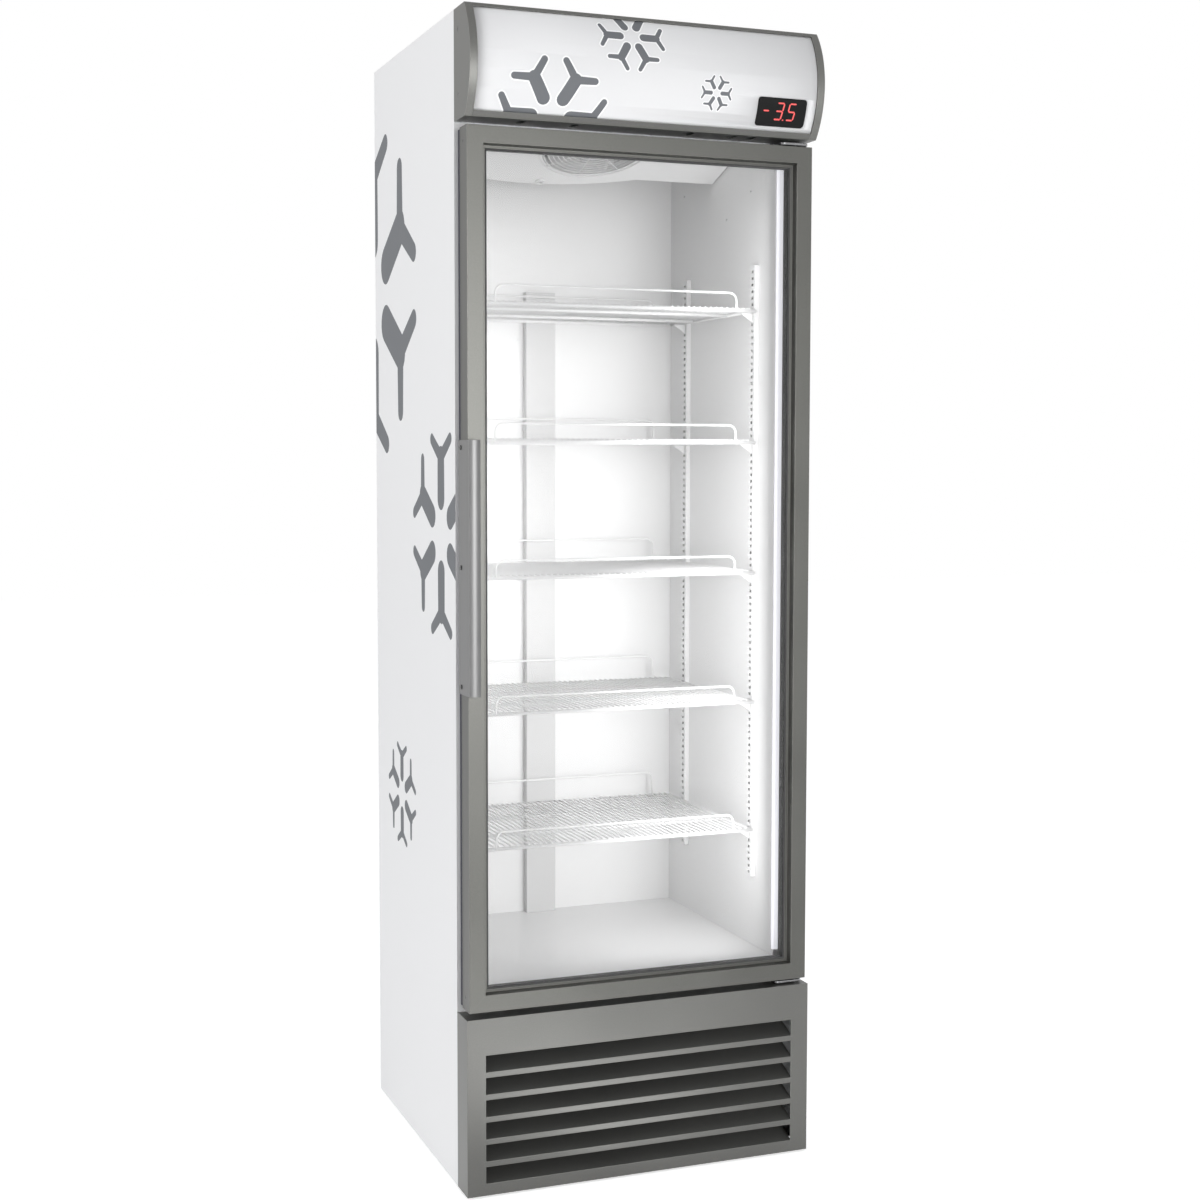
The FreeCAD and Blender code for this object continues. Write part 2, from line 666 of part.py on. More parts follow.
def temperature_display():
    half = HALF_W - CAP_THICKNESS - PART_CLEAR
    recess = PANEL_RECESS - DISPLAY_PROUD
    z = (CANOPY_BOTTOM, OVERALL_HEIGHT)
    return arc_solid(recess, recess + DISPLAY_DEPTH, half, z).common(display_window(0))


def canopy_back_plate():
    """Shallow steel pan on the cabinet's front, behind the canopy."""
    y = (FRONT, FRONT + FRAME_DEPTH)
    z = (FRAME_TOP, OVERALL_HEIGHT - SHEET)
    pan = box(across(SKIN_IN), y, z)
    hollow = box(across(SKIN_IN - 1.2), (y[0] + 1.2, y[1] + 1), (z[0] + 1.2, z[1] - 1.2))
    return pan.cut([hollow] + [screw_hole(p, Y_AXIS) for p in hinge_screws(True)])


def canopy_lamp():
    """Batten with one tube between two end holders."""
    half = HALF_W - CANOPY_LAMP_INSET
    tube_half = half - 15
    z = CANOPY_MID
    base = box(across(half), (FRONT - 22, FRONT), (z - 16, z + 16))
    glow = rod(8, 2 * tube_half, V(-tube_half, FRONT - 38, z), X_AXIS)
    holder = box((tube_half, half - 3), (FRONT - 50, FRONT - 22), (z - 12, z + 12))
    return fuse([base, glow, holder, mirrored(holder)])


# ---------------------------------------------------------------- hinges and screws

def hinge_plate_z(upper):
    """The bracket's flat plate, in the gap above or below the door."""
    if upper:
        low = DOOR_TOP + HINGE_ABOVE_DOOR
    else:
        low = DOOR_BOTTOM - HINGE_BELOW_DOOR - HINGE_PLATE
    return low, low + HINGE_PLATE


def hinge_flange_x():
    """The brackets' flanges end beside the canopy's right end cheek."""
    right = HALF_W - CAP_THICKNESS - PART_CLEAR
    return right - HINGE_WIDTH + 8, right


def hinge_screws(upper):
    z = hinge_plate_z(upper)
    reach = HINGE_FLANGE_HEIGHT - HINGE_SCREW_INSET
    level = z[0] + reach if upper else z[1] - reach
    face = FRONT - HINGE_FLANGE - SCREW_HEAD
    left, right = hinge_flange_x()
    return [V(x, face, level) for x in (left + HINGE_SCREW_INSET, right - HINGE_SCREW_INSET)]


def hinge_bracket(upper):
    """Angle bracket: a plate with the pin's hole and a flange screwed to the cabinet."""
    z = hinge_plate_z(upper)
    right = HINGE_X + HINGE_NOSE
    plate = box((right - HINGE_WIDTH, right), (HINGE_Y - HINGE_NOSE, FRONT), z)
    corners = [e for e in plate.Edges if e.BoundBox.ZLength > 1 and e.BoundBox.YMax < FRONT - 1]
    plate = plate.makeFillet(8, corners)
    if upper:
        flange_z = (z[0], z[0] + HINGE_FLANGE_HEIGHT)
    else:
        flange_z = (z[1] - HINGE_FLANGE_HEIGHT, z[1])
    flange = box(hinge_flange_x(), (FRONT - HINGE_FLANGE, FRONT), flange_z)
    hole = rod(HINGE_PIN_R + HINGE_CLEAR, 3 * HINGE_PLATE, V(HINGE_X, HINGE_Y, z[0] - HINGE_PLATE))
    holes = [rod(SCREW_R + SCREW_CLEAR, 10, V(p.x, FRONT - 5, p.z), Y_AXIS) for p in hinge_screws(upper)]
    return fuse([plate, flange]).cut([hole] + holes)


def hinge_pin(upper):
    """Headed pin that hangs through the bracket into the door's bush."""
    z = hinge_plate_z(upper)
    radius, height = PIN_HEAD
    if upper:
        head = rod(radius, height, V(HINGE_X, HINGE_Y, z[1]))
        low, high = DOOR_TOP - PIN_DEPTH, z[1]
    else:
        head = rod(radius, height, V(HINGE_X, HINGE_Y, z[0] - height))
        low, high = z[0], DOOR_BOTTOM + PIN_DEPTH
    return fuse([head, rod(HINGE_PIN_R, high - low, V(HINGE_X, HINGE_Y, low))])


def bush_room(upper):
    """The bore in the door for a bush."""
    base = DOOR_TOP - BUSH_DEPTH if upper else DOOR_BOTTOM - 1
    return rod(BUSH_R, BUSH_DEPTH + 1, V(HINGE_X, HINGE_Y, base))


def hinge_bush(upper):
    """Flanged plastic bush in the end of the hinge stile."""
    radius, flange = BUSH_COLLAR
    if upper:
        collar = rod(radius, flange, V(HINGE_X, HINGE_Y, DOOR_TOP))
        low = DOOR_TOP - BUSH_DEPTH
    else:
        collar = rod(radius, flange, V(HINGE_X, HINGE_Y, DOOR_BOTTOM - flange))
        low = DOOR_BOTTOM - flange
    sleeve = rod(BUSH_R, BUSH_DEPTH + flange, V(HINGE_X, HINGE_Y, low))
    bore = rod(HINGE_PIN_R + HINGE_CLEAR, BUSH_DEPTH + flange + 4, V(HINGE_X, HINGE_Y, low - 2))
    return fuse([collar, sleeve]).cut(bore)


def cabinet_screws():
    canopy = [screw(p, V(-side, 0, 0)) for side in (-1, 1) for p in canopy_screw_places(side)]
    hinges = [screw(p, Y_AXIS) for upper in (True, False) for p in hinge_screws(upper)]
    return canopy + hinges


# ---------------------------------------------------------------- door

def handle_screw_places():
    pitch = HANDLE_LENGTH / 2 - HANDLE_SCREW_FROM_END
    x = HANDLE_X - SCREW_HEAD
    y = DOOR_REAR - HANDLE_SCREW_FROM_REAR
    return [V(x, y, HANDLE_CENTRE + k * pitch) for k in (-1, 0, 1)]


def corner_screw_places():
    """Screws that hold the corner keys, let in flush on both edges of the door."""
    y = DOOR_FRONT + DOOR_THICKNESS / 2
    levels = (DOOR_BOTTOM + STILE_KEY / 2, DOOR_TOP - STILE_KEY / 2)
    return [V(side * DOOR_HALF, y, z) for side in (-1, 1) for z in levels]


def door_frame():
    """Four mitred hollow profiles with a glass pocket, a drafted reveal and corner keys."""
    z = (DOOR_BOTTOM, DOOR_TOP)
    y = (DOOR_FRONT, DOOR_REAR)
    lip_y = DOOR_FRONT + REVEAL_DEPTH
    pocket_y = (lip_y + LIP_SHEET, lip_y + LIP_SHEET + POCKET_DEPTH)

    def window(inset, depth):
        return box(across(DOOR_HALF - inset), depth, (z[0] + inset, z[1] - inset))

    def outline(inset, level):
        x, low, high = DOOR_HALF - inset, z[0] + inset, z[1] - inset
        corners = [V(-x, level, low), V(x, level, low), V(x, level, high), V(-x, level, high)]
        return Part.makePolygon(corners + [corners[0]])

    body = box(across(DOOR_HALF), y, z)
    face, inner = outline(STILE_FACE, y[0]), outline(STILE_FACE + STILE_REVEAL, lip_y)
    reveal = Part.makeLoft([face, inner], True, True)
    through = window(GLASS_LIP, (y[0] - 1, y[1] + 1))
    pocket = window(GLASS_POCKET, pocket_y)
    body = body.cut([reveal, through, pocket])
    hollow_y = (y[0] + STILE_WALL, y[1] - STILE_WALL)
    u = (STILE_WALL, GLASS_POCKET - STILE_WALL)
    upright = box((-DOOR_HALF + u[0], -DOOR_HALF + u[1]), hollow_y, (z[0] + STILE_KEY, z[1] - STILE_KEY))
    level = box(across(DOOR_HALF - STILE_KEY), hollow_y, (z[0] + u[0], z[0] + u[1]))
    middle = V(0, 0, (z[0] + z[1]) / 2)
    drain = rod(3, 6, V(DOOR_HALF - GLASS_POCKET - 2, HINGE_Y, z[0] + 300), X_AXIS)
    hollows = [upright, mirrored(upright), level, level.mirror(middle, Z_AXIS), drain, mirrored(drain)]
    hole_r = SCREW_R + SCREW_CLEAR
    handle_holes = [rod(hole_r, 20, V(-DOOR_HALF - 2, p.y, p.z), X_AXIS) for p in handle_screw_places()]
    corner_holes = [screw_hole(p, V(math.copysign(1, -p.x), 0, 0)) for p in corner_screw_places()]
    bores = [bush_room(upper) for upper in (True, False)]
    body = body.cut(hollows + handle_holes + corner_holes)
    return [piece.cut(bores) for piece in mitre(body, DOOR_HALF, z, y)]


def glass_planes():
    """Front faces of the outer pane, the gap and the inner pane."""
    start = DOOR_FRONT + REVEAL_DEPTH + LIP_SHEET + (POCKET_DEPTH - 2 * PANE - PANE_GAP) / 2
    return start, start + PANE, start + PANE + PANE_GAP


def glass_pane(front):
    inset = GLASS_POCKET + PANE_EDGE_GAP
    return box(across(DOOR_HALF - inset), (front, front + PANE), (DOOR_BOTTOM + inset, DOOR_TOP - inset))


def glass_spacer():
    outer = SPACER_INNER - SPACER_WIDTH
    y = (glass_planes()[1], glass_planes()[2])
    return ring(DOOR_HALF - outer, (DOOR_BOTTOM + outer, DOOR_TOP - outer), SPACER_WIDTH, y)


def door_gasket():
    """Magnetic seal: a flat base on the door and a bellows that meets the cabinet."""
    z = (DOOR_BOTTOM + GASKET_INSET, DOOR_TOP - GASKET_INSET)
    return ring(DOOR_HALF - GASKET_INSET, z, GASKET_WIDTH, (DOOR_REAR, FRONT - GASKET_CLEAR))


def door_handle():
    """Folded pull: a plate on the door's edge and a bowed flange ahead of the door's face."""
    low = HANDLE_CENTRE - HANDLE_LENGTH / 2
    x = HANDLE_X
    rear = FRONT - HANDLE_BACK
    front = DOOR_FRONT - HANDLE_AHEAD
    tip = x + HANDLE_FLANGE
    t = HANDLE_PLATE
    bow = HANDLE_BOW
    points = [V(-DOOR_HALF, rear, low), V(x, rear, low), V(x, front + bow, low), V(tip, front + bow, low),
              V(tip, front + bow + t, low), V(-DOOR_HALF, front + bow + t, low)]
    outer_mid = V((x + tip) / 2, front, low)
    inner_mid = V((tip - DOOR_HALF) / 2, front + t + 0.3, low)
    edges = [
        Part.LineSegment(points[0], points[1]).toShape(),
        Part.LineSegment(points[1], points[2]).toShape(),
        Part.Arc(points[2], outer_mid, points[3]).toShape(),
        Part.LineSegment(points[3], points[4]).toShape(),
        Part.Arc(points[4], inner_mid, points[5]).toShape(),
        Part.LineSegment(points[5], points[0]).toShape(),
    ]
    bar = Part.Face(Part.Wire(edges)).extrude(V(0, 0, HANDLE_LENGTH))
    holes = [rod(SCREW_R + SCREW_CLEAR, 20, V(x - 5, p.y, p.z), X_AXIS) for p in handle_screw_places()]
    return bar.cut(holes)


def door_screws():
    handle = [screw(p, X_AXIS) for p in handle_screw_places()]
    corners = [screw(p, V(math.copysign(1, -p.x), 0, 0)) for p in corner_screw_places()]
    return handle + corners


# ---------------------------------------------------------------- shelving

def clip_top(level):
    return level - SHELF_BAR / 2


def pilaster(y0):
    """Slotted upright on the right wall, from its front face."""
    z = (SHELF_LEVELS[0] - PILASTER_BELOW, SHELF_LEVELS[-1] + PILASTER_ABOVE)
    y = (y0, y0 + PILASTER_WIDTH)
    body = box((PILASTER_FACE, LINER_X), y, z)
    inside = box(
        (PILASTER_FACE + PILASTER_WALL, LINER_X + 1),
        (y[0] + PILASTER_WALL, y[1] - PILASTER_WALL),
        (z[0] - 1, z[1] + 1),
    )
    width, height = PILASTER_SLOT
    pitch = SHELF_STEP / SLOTS_PER_BAY
    anchor = clip_top(SHELF_LEVELS[0]) - CLIP_TONGUE_DROP
    first = math.ceil((z[0] + 6 - anchor) / pitch)
    last = math.floor((z[1] - 6 - anchor) / pitch)
    centre = y0 + PILASTER_WIDTH / 2
    slots = []
    for k in range(first, last + 1):
        middle = anchor + k * pitch
        slots.append(box(
            (PILASTER_FACE - 1, PILASTER_FACE + PILASTER_WALL + 1),
            (centre - width / 2, centre + width / 2),
            (middle - height / 2, middle + height / 2),
        ))
    return body.cut([inside] + slots)


def stop_rail(y, base, height):
    """Wire rail that keeps goods on a shelf: two bent ends and the wire between them."""
    half = SHELF_HALF - RAIL_INSET
    top = base + height
    joint = half - 2 * RAIL_CORNER
    end = tube([(half, y, base), (half, y, top), (joint, y, top)], RAIL_WIRE_R, RAIL_CORNER)
    return [end, mirrored(end), rod(RAIL_WIRE_R, 2 * joint, V(-joint, y, top), X_AXIS)]


def shelf(level):
    """Welded wire shelf: edge and cross bars, wires from front to back, and two stop rails."""
    half = SHELF_HALF
    z = (level - SHELF_BAR / 2, level + SHELF_BAR / 2)
    side = SHELF_BAR
    front_bar = (SHELF_FRONT, SHELF_FRONT + SHELF_EDGE_BAR)
    rear_bar = (SHELF_BACK - SHELF_EDGE_BAR, SHELF_BACK)
    across_bars = [front_bar, rear_bar]
    for y in (SHELF_FRONT + CROSS_BAR_INSET, SHELF_BACK - CROSS_BAR_INSET):
        across_bars.append((y - SHELF_BAR / 2, y + SHELF_BAR / 2))
    bars = [box(across(half), y, z) for y in across_bars]
    bars.append(box((half - side, half), (front_bar[0], rear_bar[1]), z))
    bars.append(box((-half, side - half), (front_bar[0], rear_bar[1]), z))
    run = (front_bar[0] + SHELF_EDGE_BAR / 2, rear_bar[1] - SHELF_EDGE_BAR / 2)
    wire_z = (z[1] - 0.5, z[1] - 0.5 + SHELF_WIRE)
    step = (2 * half - side) / (SHELF_WIRES + 1)
    for i in range(SHELF_WIRES):
        x = -half + side / 2 + step * (i + 1)
        bars.append(box((x - SHELF_WIRE / 2, x + SHELF_WIRE / 2), run, wire_z))
    grid = fuse(bars)
    front_rail = stop_rail(SHELF_FRONT + RAIL_WIRE_R, z[1], RAIL_FRONT_HEIGHT)
    rear_rail = stop_rail(SHELF_BACK - RAIL_WIRE_R, z[1], RAIL_REAR_HEIGHT)
    return [grid] + front_rail + rear_rail


def shelf_clip(level, y):
    """Triangular clip on the right wall, with a tongue in the pilaster's slot."""
    top = clip_top(level)
    y0 = y + (PILASTER_WIDTH - CLIP_SHEET) / 2
    face = PILASTER_FACE
    outline = [(face, y0, top), (face - CLIP_REACH, y0, top), (face, y0, top - CLIP_DROP)]
    gusset = prism(outline, V(0, CLIP_SHEET, 0))
    middle = top - CLIP_TONGUE_DROP
    tongue_half = PILASTER_SLOT[1] / 2 - 0.5
    tongue = box((face - 1, face + 4), (y0, y0 + CLIP_SHEET), (middle - tongue_half, middle + tongue_half))
    return fuse([gusset, tongue])


# ---------------------------------------------------------------- evaporator

def on_slope(shape):
    """Place a piece made flat, with the cover's rear edge on the X axis, on the cover's slope."""
    placed = shape.copy()
    placed.rotate(V(0, 0, 0), X_AXIS, -COVER_SLOPE)
    placed.translate(V(0, FRONT + COVER_REAR, COVER_LOW))
    return placed


def cover_outline(inset, level):
    """The cover seen from above: straight sides, and a rear edge that bulges to a round lip."""
    half = LINER_X - COVER_CLEAR - inset
    run = (COVER_REAR - HEADER_DEPTH - LINER_SHEET - COVER_CLEAR) / math.cos(math.radians(COVER_SLOPE))
    front = -run + inset
    right = BULGE_CENTRE + BULGE_HALF
    left = max(BULGE_CENTRE - BULGE_HALF, -half)
    lip = V(BULGE_CENTRE, COVER_BULGE - inset, level)
    places = [(left, -inset), (-half, -inset), (-half, front)]
    places += [(half, front), (half, -inset), (right, -inset)]
    corners = [V(x, y, level) for x, y in places]
    corners = [c for i, c in enumerate(corners) if i == 0 or (c - corners[i - 1]).Length > 0.01]
    edges = [Part.LineSegment(a, b).toShape() for a, b in zip(corners, corners[1:])]
    edges.append(Part.Arc(corners[-1], lip, corners[0]).toShape())
    return Part.Face(Part.Wire(edges))


def evaporator_cover():
    """Sloping drip tray with a low rim, a round fan opening with a collar and a drain spigot."""
    tray = cover_outline(0, 0).extrude(V(0, 0, COVER_RIM))
    tray = tray.cut(cover_outline(COVER_SHEET, COVER_SHEET).extrude(V(0, 0, COVER_RIM)))
    centre = V(0, -FAN_CENTRE, 0)
    collar = rod(FAN_HOLE_R + COVER_SHEET, COVER_RIM, centre)
    spout = V(BULGE_CENTRE + SPIGOT_SIDE, COVER_BULGE - SPIGOT_BACK, COVER_SHEET)
    spigot = rod(SPIGOT_R, SPIGOT_DROP, spout - V(0, 0, SPIGOT_DROP))
    whole = fuse([tray, collar, spigot])
    hole = rod(FAN_HOLE_R, 3 * COVER_RIM, centre - V(0, 0, COVER_RIM))
    drain = rod(SPIGOT_BORE_R, 4 * SPIGOT_DROP, spout - V(0, 0, 2 * SPIGOT_DROP))
    return on_slope(whole.cut([hole, drain]))


def fan_guard():
    """Flat guard under the fan opening: concentric wires and radial spokes."""
    centre = V(0, -FAN_CENTRE, -0.4 - GUARD_WIRE)
    w = GUARD_WIRE
    pitch = (GUARD_R - GUARD_HUB_R) / GUARD_RINGS
    rings = []
    for i in range(GUARD_RINGS):
        r = GUARD_R - i * pitch
        rings.append(rod(r, w, centre).cut(rod(r - w, w, centre)))
    hub = rod(GUARD_HUB_R, w, centre)
    spokes = []
    for angle in range(0, 360, 45):
        arm = box((0, GUARD_R - 0.5), (-w / 2, w / 2), (0, w))
        arm.rotate(V(0, 0, 0), Z_AXIS, angle)
        spokes.append(moved(arm, centre))
    return on_slope(fuse([hub] + rings + spokes))


def propeller(radius, hub_radius, depth, blades, bore, pitch):
    """Fan wheel about the Z axis from z = 0: a hub and flat pitched blades."""
    hub = rod(hub_radius, depth, V(0, 0, 0))
    limit = rod(radius, depth, V(0, 0, 0)).cut(rod(hub_radius - 2, depth, V(0, 0, 0)))
    chord = radius * 0.62
    arms = []
    for i in range(blades):
        blade = box((hub_radius - 3, radius + 5), across(chord / 2), across(0.9))
        blade.rotate(V(0, 0, 0), X_AXIS, pitch)
        blade.translate(V(0, 0, depth / 2))
        blade.rotate(V(0, 0, 0), Z_AXIS, 360 * i / blades)
        arms.append(blade.common(limit))
    return fuse([hub] + arms).cut(rod(bore, depth * 0.8, V(0, 0, depth * 0.2 + 1)))


def fan_motor(body_r, body_h, gap, wheel_depth, arm_r, leg):
    """Motor about the Z axis above a wheel: shaft, round body and four arms with feet."""
    arm_count = 4
    shaft = rod(SHAFT_R, wheel_depth * 0.6 + gap, V(0, 0, wheel_depth * 0.4))
    base = wheel_depth + gap
    body = rod(body_r, body_h, V(0, 0, base))
    body = body.makeFillet(4, [e for e in body.Edges if e.BoundBox.ZMin > base + 1 and e.Closed])
    pieces = [shaft, body]
    for i in range(arm_count):
        arm = box((body_r - 3, arm_r), across(5), (base, base + 3))
        foot = box((arm_r - 4, arm_r), across(5), (leg, base + 3))
        piece = fuse([arm, foot])
        piece.rotate(V(0, 0, 0), Z_AXIS, 45 + 360 * i / arm_count)
        pieces.append(piece)
    return fuse(pieces)


def evaporator_fan():
    wheel = propeller(FAN_R, 26, FAN_DEPTH, 5, SHAFT_R + HINGE_CLEAR, 24)
    return on_slope(moved(wheel, V(0, -FAN_CENTRE, FAN_LIFT)))


def evaporator_motor():
    motor = fan_motor(32, 30, 4, FAN_DEPTH, FAN_HOLE_R + COVER_SHEET, COVER_RIM - FAN_LIFT)
    return on_slope(moved(motor, V(0, -FAN_CENTRE, FAN_LIFT)))


def finned_coil(size, fins, rows, columns, tube_radius):
    """Plate fins on rows of tubes along X, between two thicker end plates."""
    length, depth, height = size
    end, half_fin = 2.0, 0.5
    pieces = [box((x, x + end), (0, depth), (0, height)) for x in (0, length - end)]
    gap = (length - 2 * end) / (fins + 1)
    for i in range(fins):
        x = end + gap * (i + 1)
        pieces.append(box((x - half_fin, x + half_fin), (0, depth), (0, height)))
    for i in range(rows):
        for j in range(columns):
            y = depth * (i + 0.5) / rows
            z = height * (j + 0.5) / columns
            pieces.append(rod(tube_radius, length + 16, V(-8, y, z), X_AXIS))
    return fuse(pieces)


def evaporator_coil():
    height = CEILING_Z - 0.2 - COIL_BOTTOM
    coil = finned_coil((2 * COIL_HALF, COIL_DEPTH, height), 18, 4, 2, 5)
    return moved(coil, V(-COIL_HALF, FRONT + HEADER_DEPTH + 18, COIL_BOTTOM))


def drain_duct():
    """Upright cover on the back wall over the drain hose."""
    x = (DUCT_CENTRE - DUCT_WIDTH / 2, DUCT_CENTRE + DUCT_WIDTH / 2)
    y = (LINER_BACK - DUCT_PROUD, LINER_BACK)
    z = (FLOOR_Z, COVER_LOW - DUCT_BELOW_COVER)
    t = DUCT_SHEET
    return box(x, y, z).cut(box((x[0] + t, x[1] - t), (y[0] + t, y[1] + 1), (z[0] - 1, z[1] - t)))


def temperature_probe():
    """Sensor bulb in a clip on the back of the header."""
    y = FRONT + HEADER_DEPTH + LINER_SHEET
    z = CEILING_Z - 30
    clip = box((176, 188), (y, y + 6), (z - 6, z + 6))
    return fuse([clip, rod(3, 44, V(160, y + 7, z), X_AXIS)])


# ---------------------------------------------------------------- machine compartment

def condenser_fan_centre():
    y = FRONT + CONDENSER_SETBACK + CONDENSER_DEPTH
    return V(CONDENSER_X, y, CONDENSER_BOTTOM + CONDENSER_HEIGHT / 2)


def condenser_coil():
    coil = finned_coil((CONDENSER_LENGTH, CONDENSER_DEPTH, CONDENSER_HEIGHT), 22, 2, 6, 4.5)
    return moved(coil, V(CONDENSER_X - CONDENSER_LENGTH / 2, FRONT + CONDENSER_SETBACK, CONDENSER_BOTTOM))


def fan_shroud():
    """Plate behind the condenser with a short round collar, standing on the pan."""
    centre = condenser_fan_centre()
    front = centre.y + 0.3
    x = (centre.x - CONDENSER_LENGTH / 2, centre.x + CONDENSER_LENGTH / 2)
    plate = box(x, (front, front + 2), (MACHINE_FLOOR, CONDENSER_BOTTOM + CONDENSER_HEIGHT + 4))
    collar = rod(CONDENSER_FAN_HOLE_R + 2, SHROUD_DEPTH, V(centre.x, front, centre.z), Y_AXIS)
    hole = rod(CONDENSER_FAN_HOLE_R, SHROUD_DEPTH + 20, V(centre.x, front - 10, centre.z), Y_AXIS)
    return fuse([plate, collar]).cut(hole)


def on_condenser_axis(shape):
    """Turn a piece made about Z onto the condenser fan's axis, which points to the back."""
    placed = shape.copy()
    placed.rotate(V(0, 0, 0), X_AXIS, -90)
    centre = condenser_fan_centre()
    placed.translate(V(centre.x, centre.y + CONDENSER_FAN_START, centre.z))
    return placed


def condenser_fan():
    radius = CONDENSER_FAN_HOLE_R - CONDENSER_FAN_TIP_CLEAR
    return on_condenser_axis(propeller(radius, 30, CONDENSER_FAN_DEPTH, 5, SHAFT_R + HINGE_CLEAR, 26))


def condenser_motor():
    leg = SHROUD_DEPTH + 0.3 - CONDENSER_FAN_START
    motor = fan_motor(36, 52, 5, CONDENSER_FAN_DEPTH, CONDENSER_FAN_HOLE_R + 2, leg)
    return on_condenser_axis(motor)


def compressor_centre():
    return V(HALF_W - COMPRESSOR_SIDE, BACK - COMPRESSOR_FROM_BACK, MACHINE_FLOOR)


def can_top():
    return DECK_TOP - COMPRESSOR_BELOW_DECK


def grommet_places():
    c = compressor_centre()
    dx, dy = GROMMET_PLACE
    return [c + V(sx * dx, sy * dy, 0) for sx in (-1, 1) for sy in (-1, 1)]


def compressor():
    """Hermetic can on a foot plate, with the terminal cover on its side."""
    c = compressor_centre()
    half_x, half_y, thick = COMPRESSOR_PLATE
    plate_z = c.z + GROMMET_HEIGHT
    low = plate_z + COMPRESSOR_CAN_LIFT
    height = can_top() - low
    plate = box((c.x - half_x, c.x + half_x), (c.y - half_y, c.y + half_y), (plate_z, plate_z + thick))
    can = rod(COMPRESSOR_R, height, V(c.x, c.y, low))
    can = can.makeFillet(34, [e for e in can.Edges if e.Closed])
    neck = rod(46, 14, V(c.x, c.y, plate_z + 1))
    seam = rod(COMPRESSOR_R + 3, 5, V(c.x, c.y, low + height / 2))
    side = c.x - COMPRESSOR_R
    terminals = box((side - 26, side + 20), (c.y - 30, c.y + 30), (low + 34, low + 104))
    whole = fuse([plate, can, neck, seam, terminals])
    return whole.cut([rod(7.4, 20, p + V(0, 0, 10)) for p in grommet_places()])


def compressor_feet():
    """Rubber grommets: a broad foot below the plate, a neck through it and a smaller head."""
    plate_top = GROMMET_HEIGHT + COMPRESSOR_PLATE[2]
    feet = []
    for p in grommet_places():
        lower = rod(13, GROMMET_HEIGHT, p)
        neck = rod(7, plate_top + 1, p)
        upper = rod(10, 4, p + V(0, 0, plate_top + 0.2))
        feet.append(fuse([lower, neck, upper]))
    return feet


def condensate_tray():
    """Open tray that catches and evaporates the drained water."""
    x, y = (-HALF_W + 75, -60), (BACK - 190, BACK - 50)
    z = (MACHINE_FLOOR, MACHINE_FLOOR + 34)
    t = TRAY_WALL
    shell = box(x, y, z)
    shell = shell.makeFillet(TRAY_CORNER, [e for e in shell.Edges if e.BoundBox.ZLength > 5])
    inside = box((x[0] + t, x[1] - t), (y[0] + t, y[1] - t), (z[0] + t, z[1] + 1))
    inside = inside.makeFillet(TRAY_CORNER - t, [e for e in inside.Edges if e.BoundBox.ZLength > 5])
    return shell.cut(inside)


def drier_place():
    """Low end of the upright filter drier, midway between the levels of its two tubes."""
    middle = (LIQUID_LEVEL + DECK_TOP - OUTLET_BELOW_DECK) / 2
    return V(-HALF_W + 30, FRONT + 150, middle - DRIER_LENGTH / 2)


def filter_drier():
    body = rod(DRIER_R, DRIER_LENGTH, drier_place())
    return body.makeFillet(6, [e for e in body.Edges if e.Closed])


def refrigerant_lines():
    """Discharge, liquid, outlet and suction tubes inside the machine compartment."""
    c = compressor_centre()
    fan = condenser_fan_centre()
    drier = drier_place()
    right = fan.x + CONDENSER_LENGTH / 2
    left = fan.x - CONDENSER_LENGTH / 2
    turn_x = right + 42
    side_y = fan.y - CONDENSER_DEPTH / 2
    entry = fan.z + CONDENSER_HEIGHT / 4
    top = DECK_TOP - DISCHARGE_BELOW_DECK
    outlet_z = DECK_TOP - OUTLET_BELOW_DECK
    suction_z = DECK_TOP - SUCTION_BELOW_DECK
    deck = DECK_TOP - DECK_SHEET
    tail_x = c.x + 28
    runs = [
        [(c.x, c.y, can_top()), (c.x, c.y, top), (turn_x, c.y - 40, top), (turn_x, side_y, top),
         (turn_x, side_y, entry), (right, side_y, entry)],
        [(left, side_y, LIQUID_LEVEL), (drier.x, side_y, LIQUID_LEVEL), (drier.x, drier.y, LIQUID_LEVEL),
         (drier.x, drier.y, drier.z)],
        [(drier.x, drier.y, drier.z + DRIER_LENGTH), (drier.x, drier.y, outlet_z),
         (drier.x, drier.y + 90, outlet_z), (drier.x, drier.y + 90, deck)],
        [(tail_x, c.y, can_top()), (tail_x, c.y, suction_z), (tail_x, BACK - 40, suction_z),
         (tail_x, BACK - 40, deck)],
    ]
    return [tube(run, TUBE_R, TUBE_BEND) for run in runs]


def electrical_box():
    """Closed junction box behind the rear cover at the left."""
    x0 = -HALF_W + BOX_FROM_SIDE
    width, depth, height = BOX_SIZE
    low = MACHINE_FLOOR + 36.5
    body = box((x0, x0 + width), (BACK - 6 - depth, BACK - 6), (low, low + height))
    body = body.makeFillet(3, [e for e in body.Edges if e.BoundBox.YLength > 5])
    return body.cut(gland_hole())


def cable_gland():
    """Threaded gland through the rear cover into the junction box, with no cable."""
    p = gland_place()
    thread = rod(GLAND_R, GLAND_LENGTH, p - V(0, GLAND_LENGTH, 0), Y_AXIS)
    nut = moved(prism(hexagon(13, X_AXIS, Z_AXIS), V(0, -3.5, 0)), p - V(0, SHEET, 0))
    return fuse([thread, nut]).cut(rod(GLAND_BORE_R, 40, p - V(0, 30, 0), Y_AXIS))


# ---------------------------------------------------------------- build

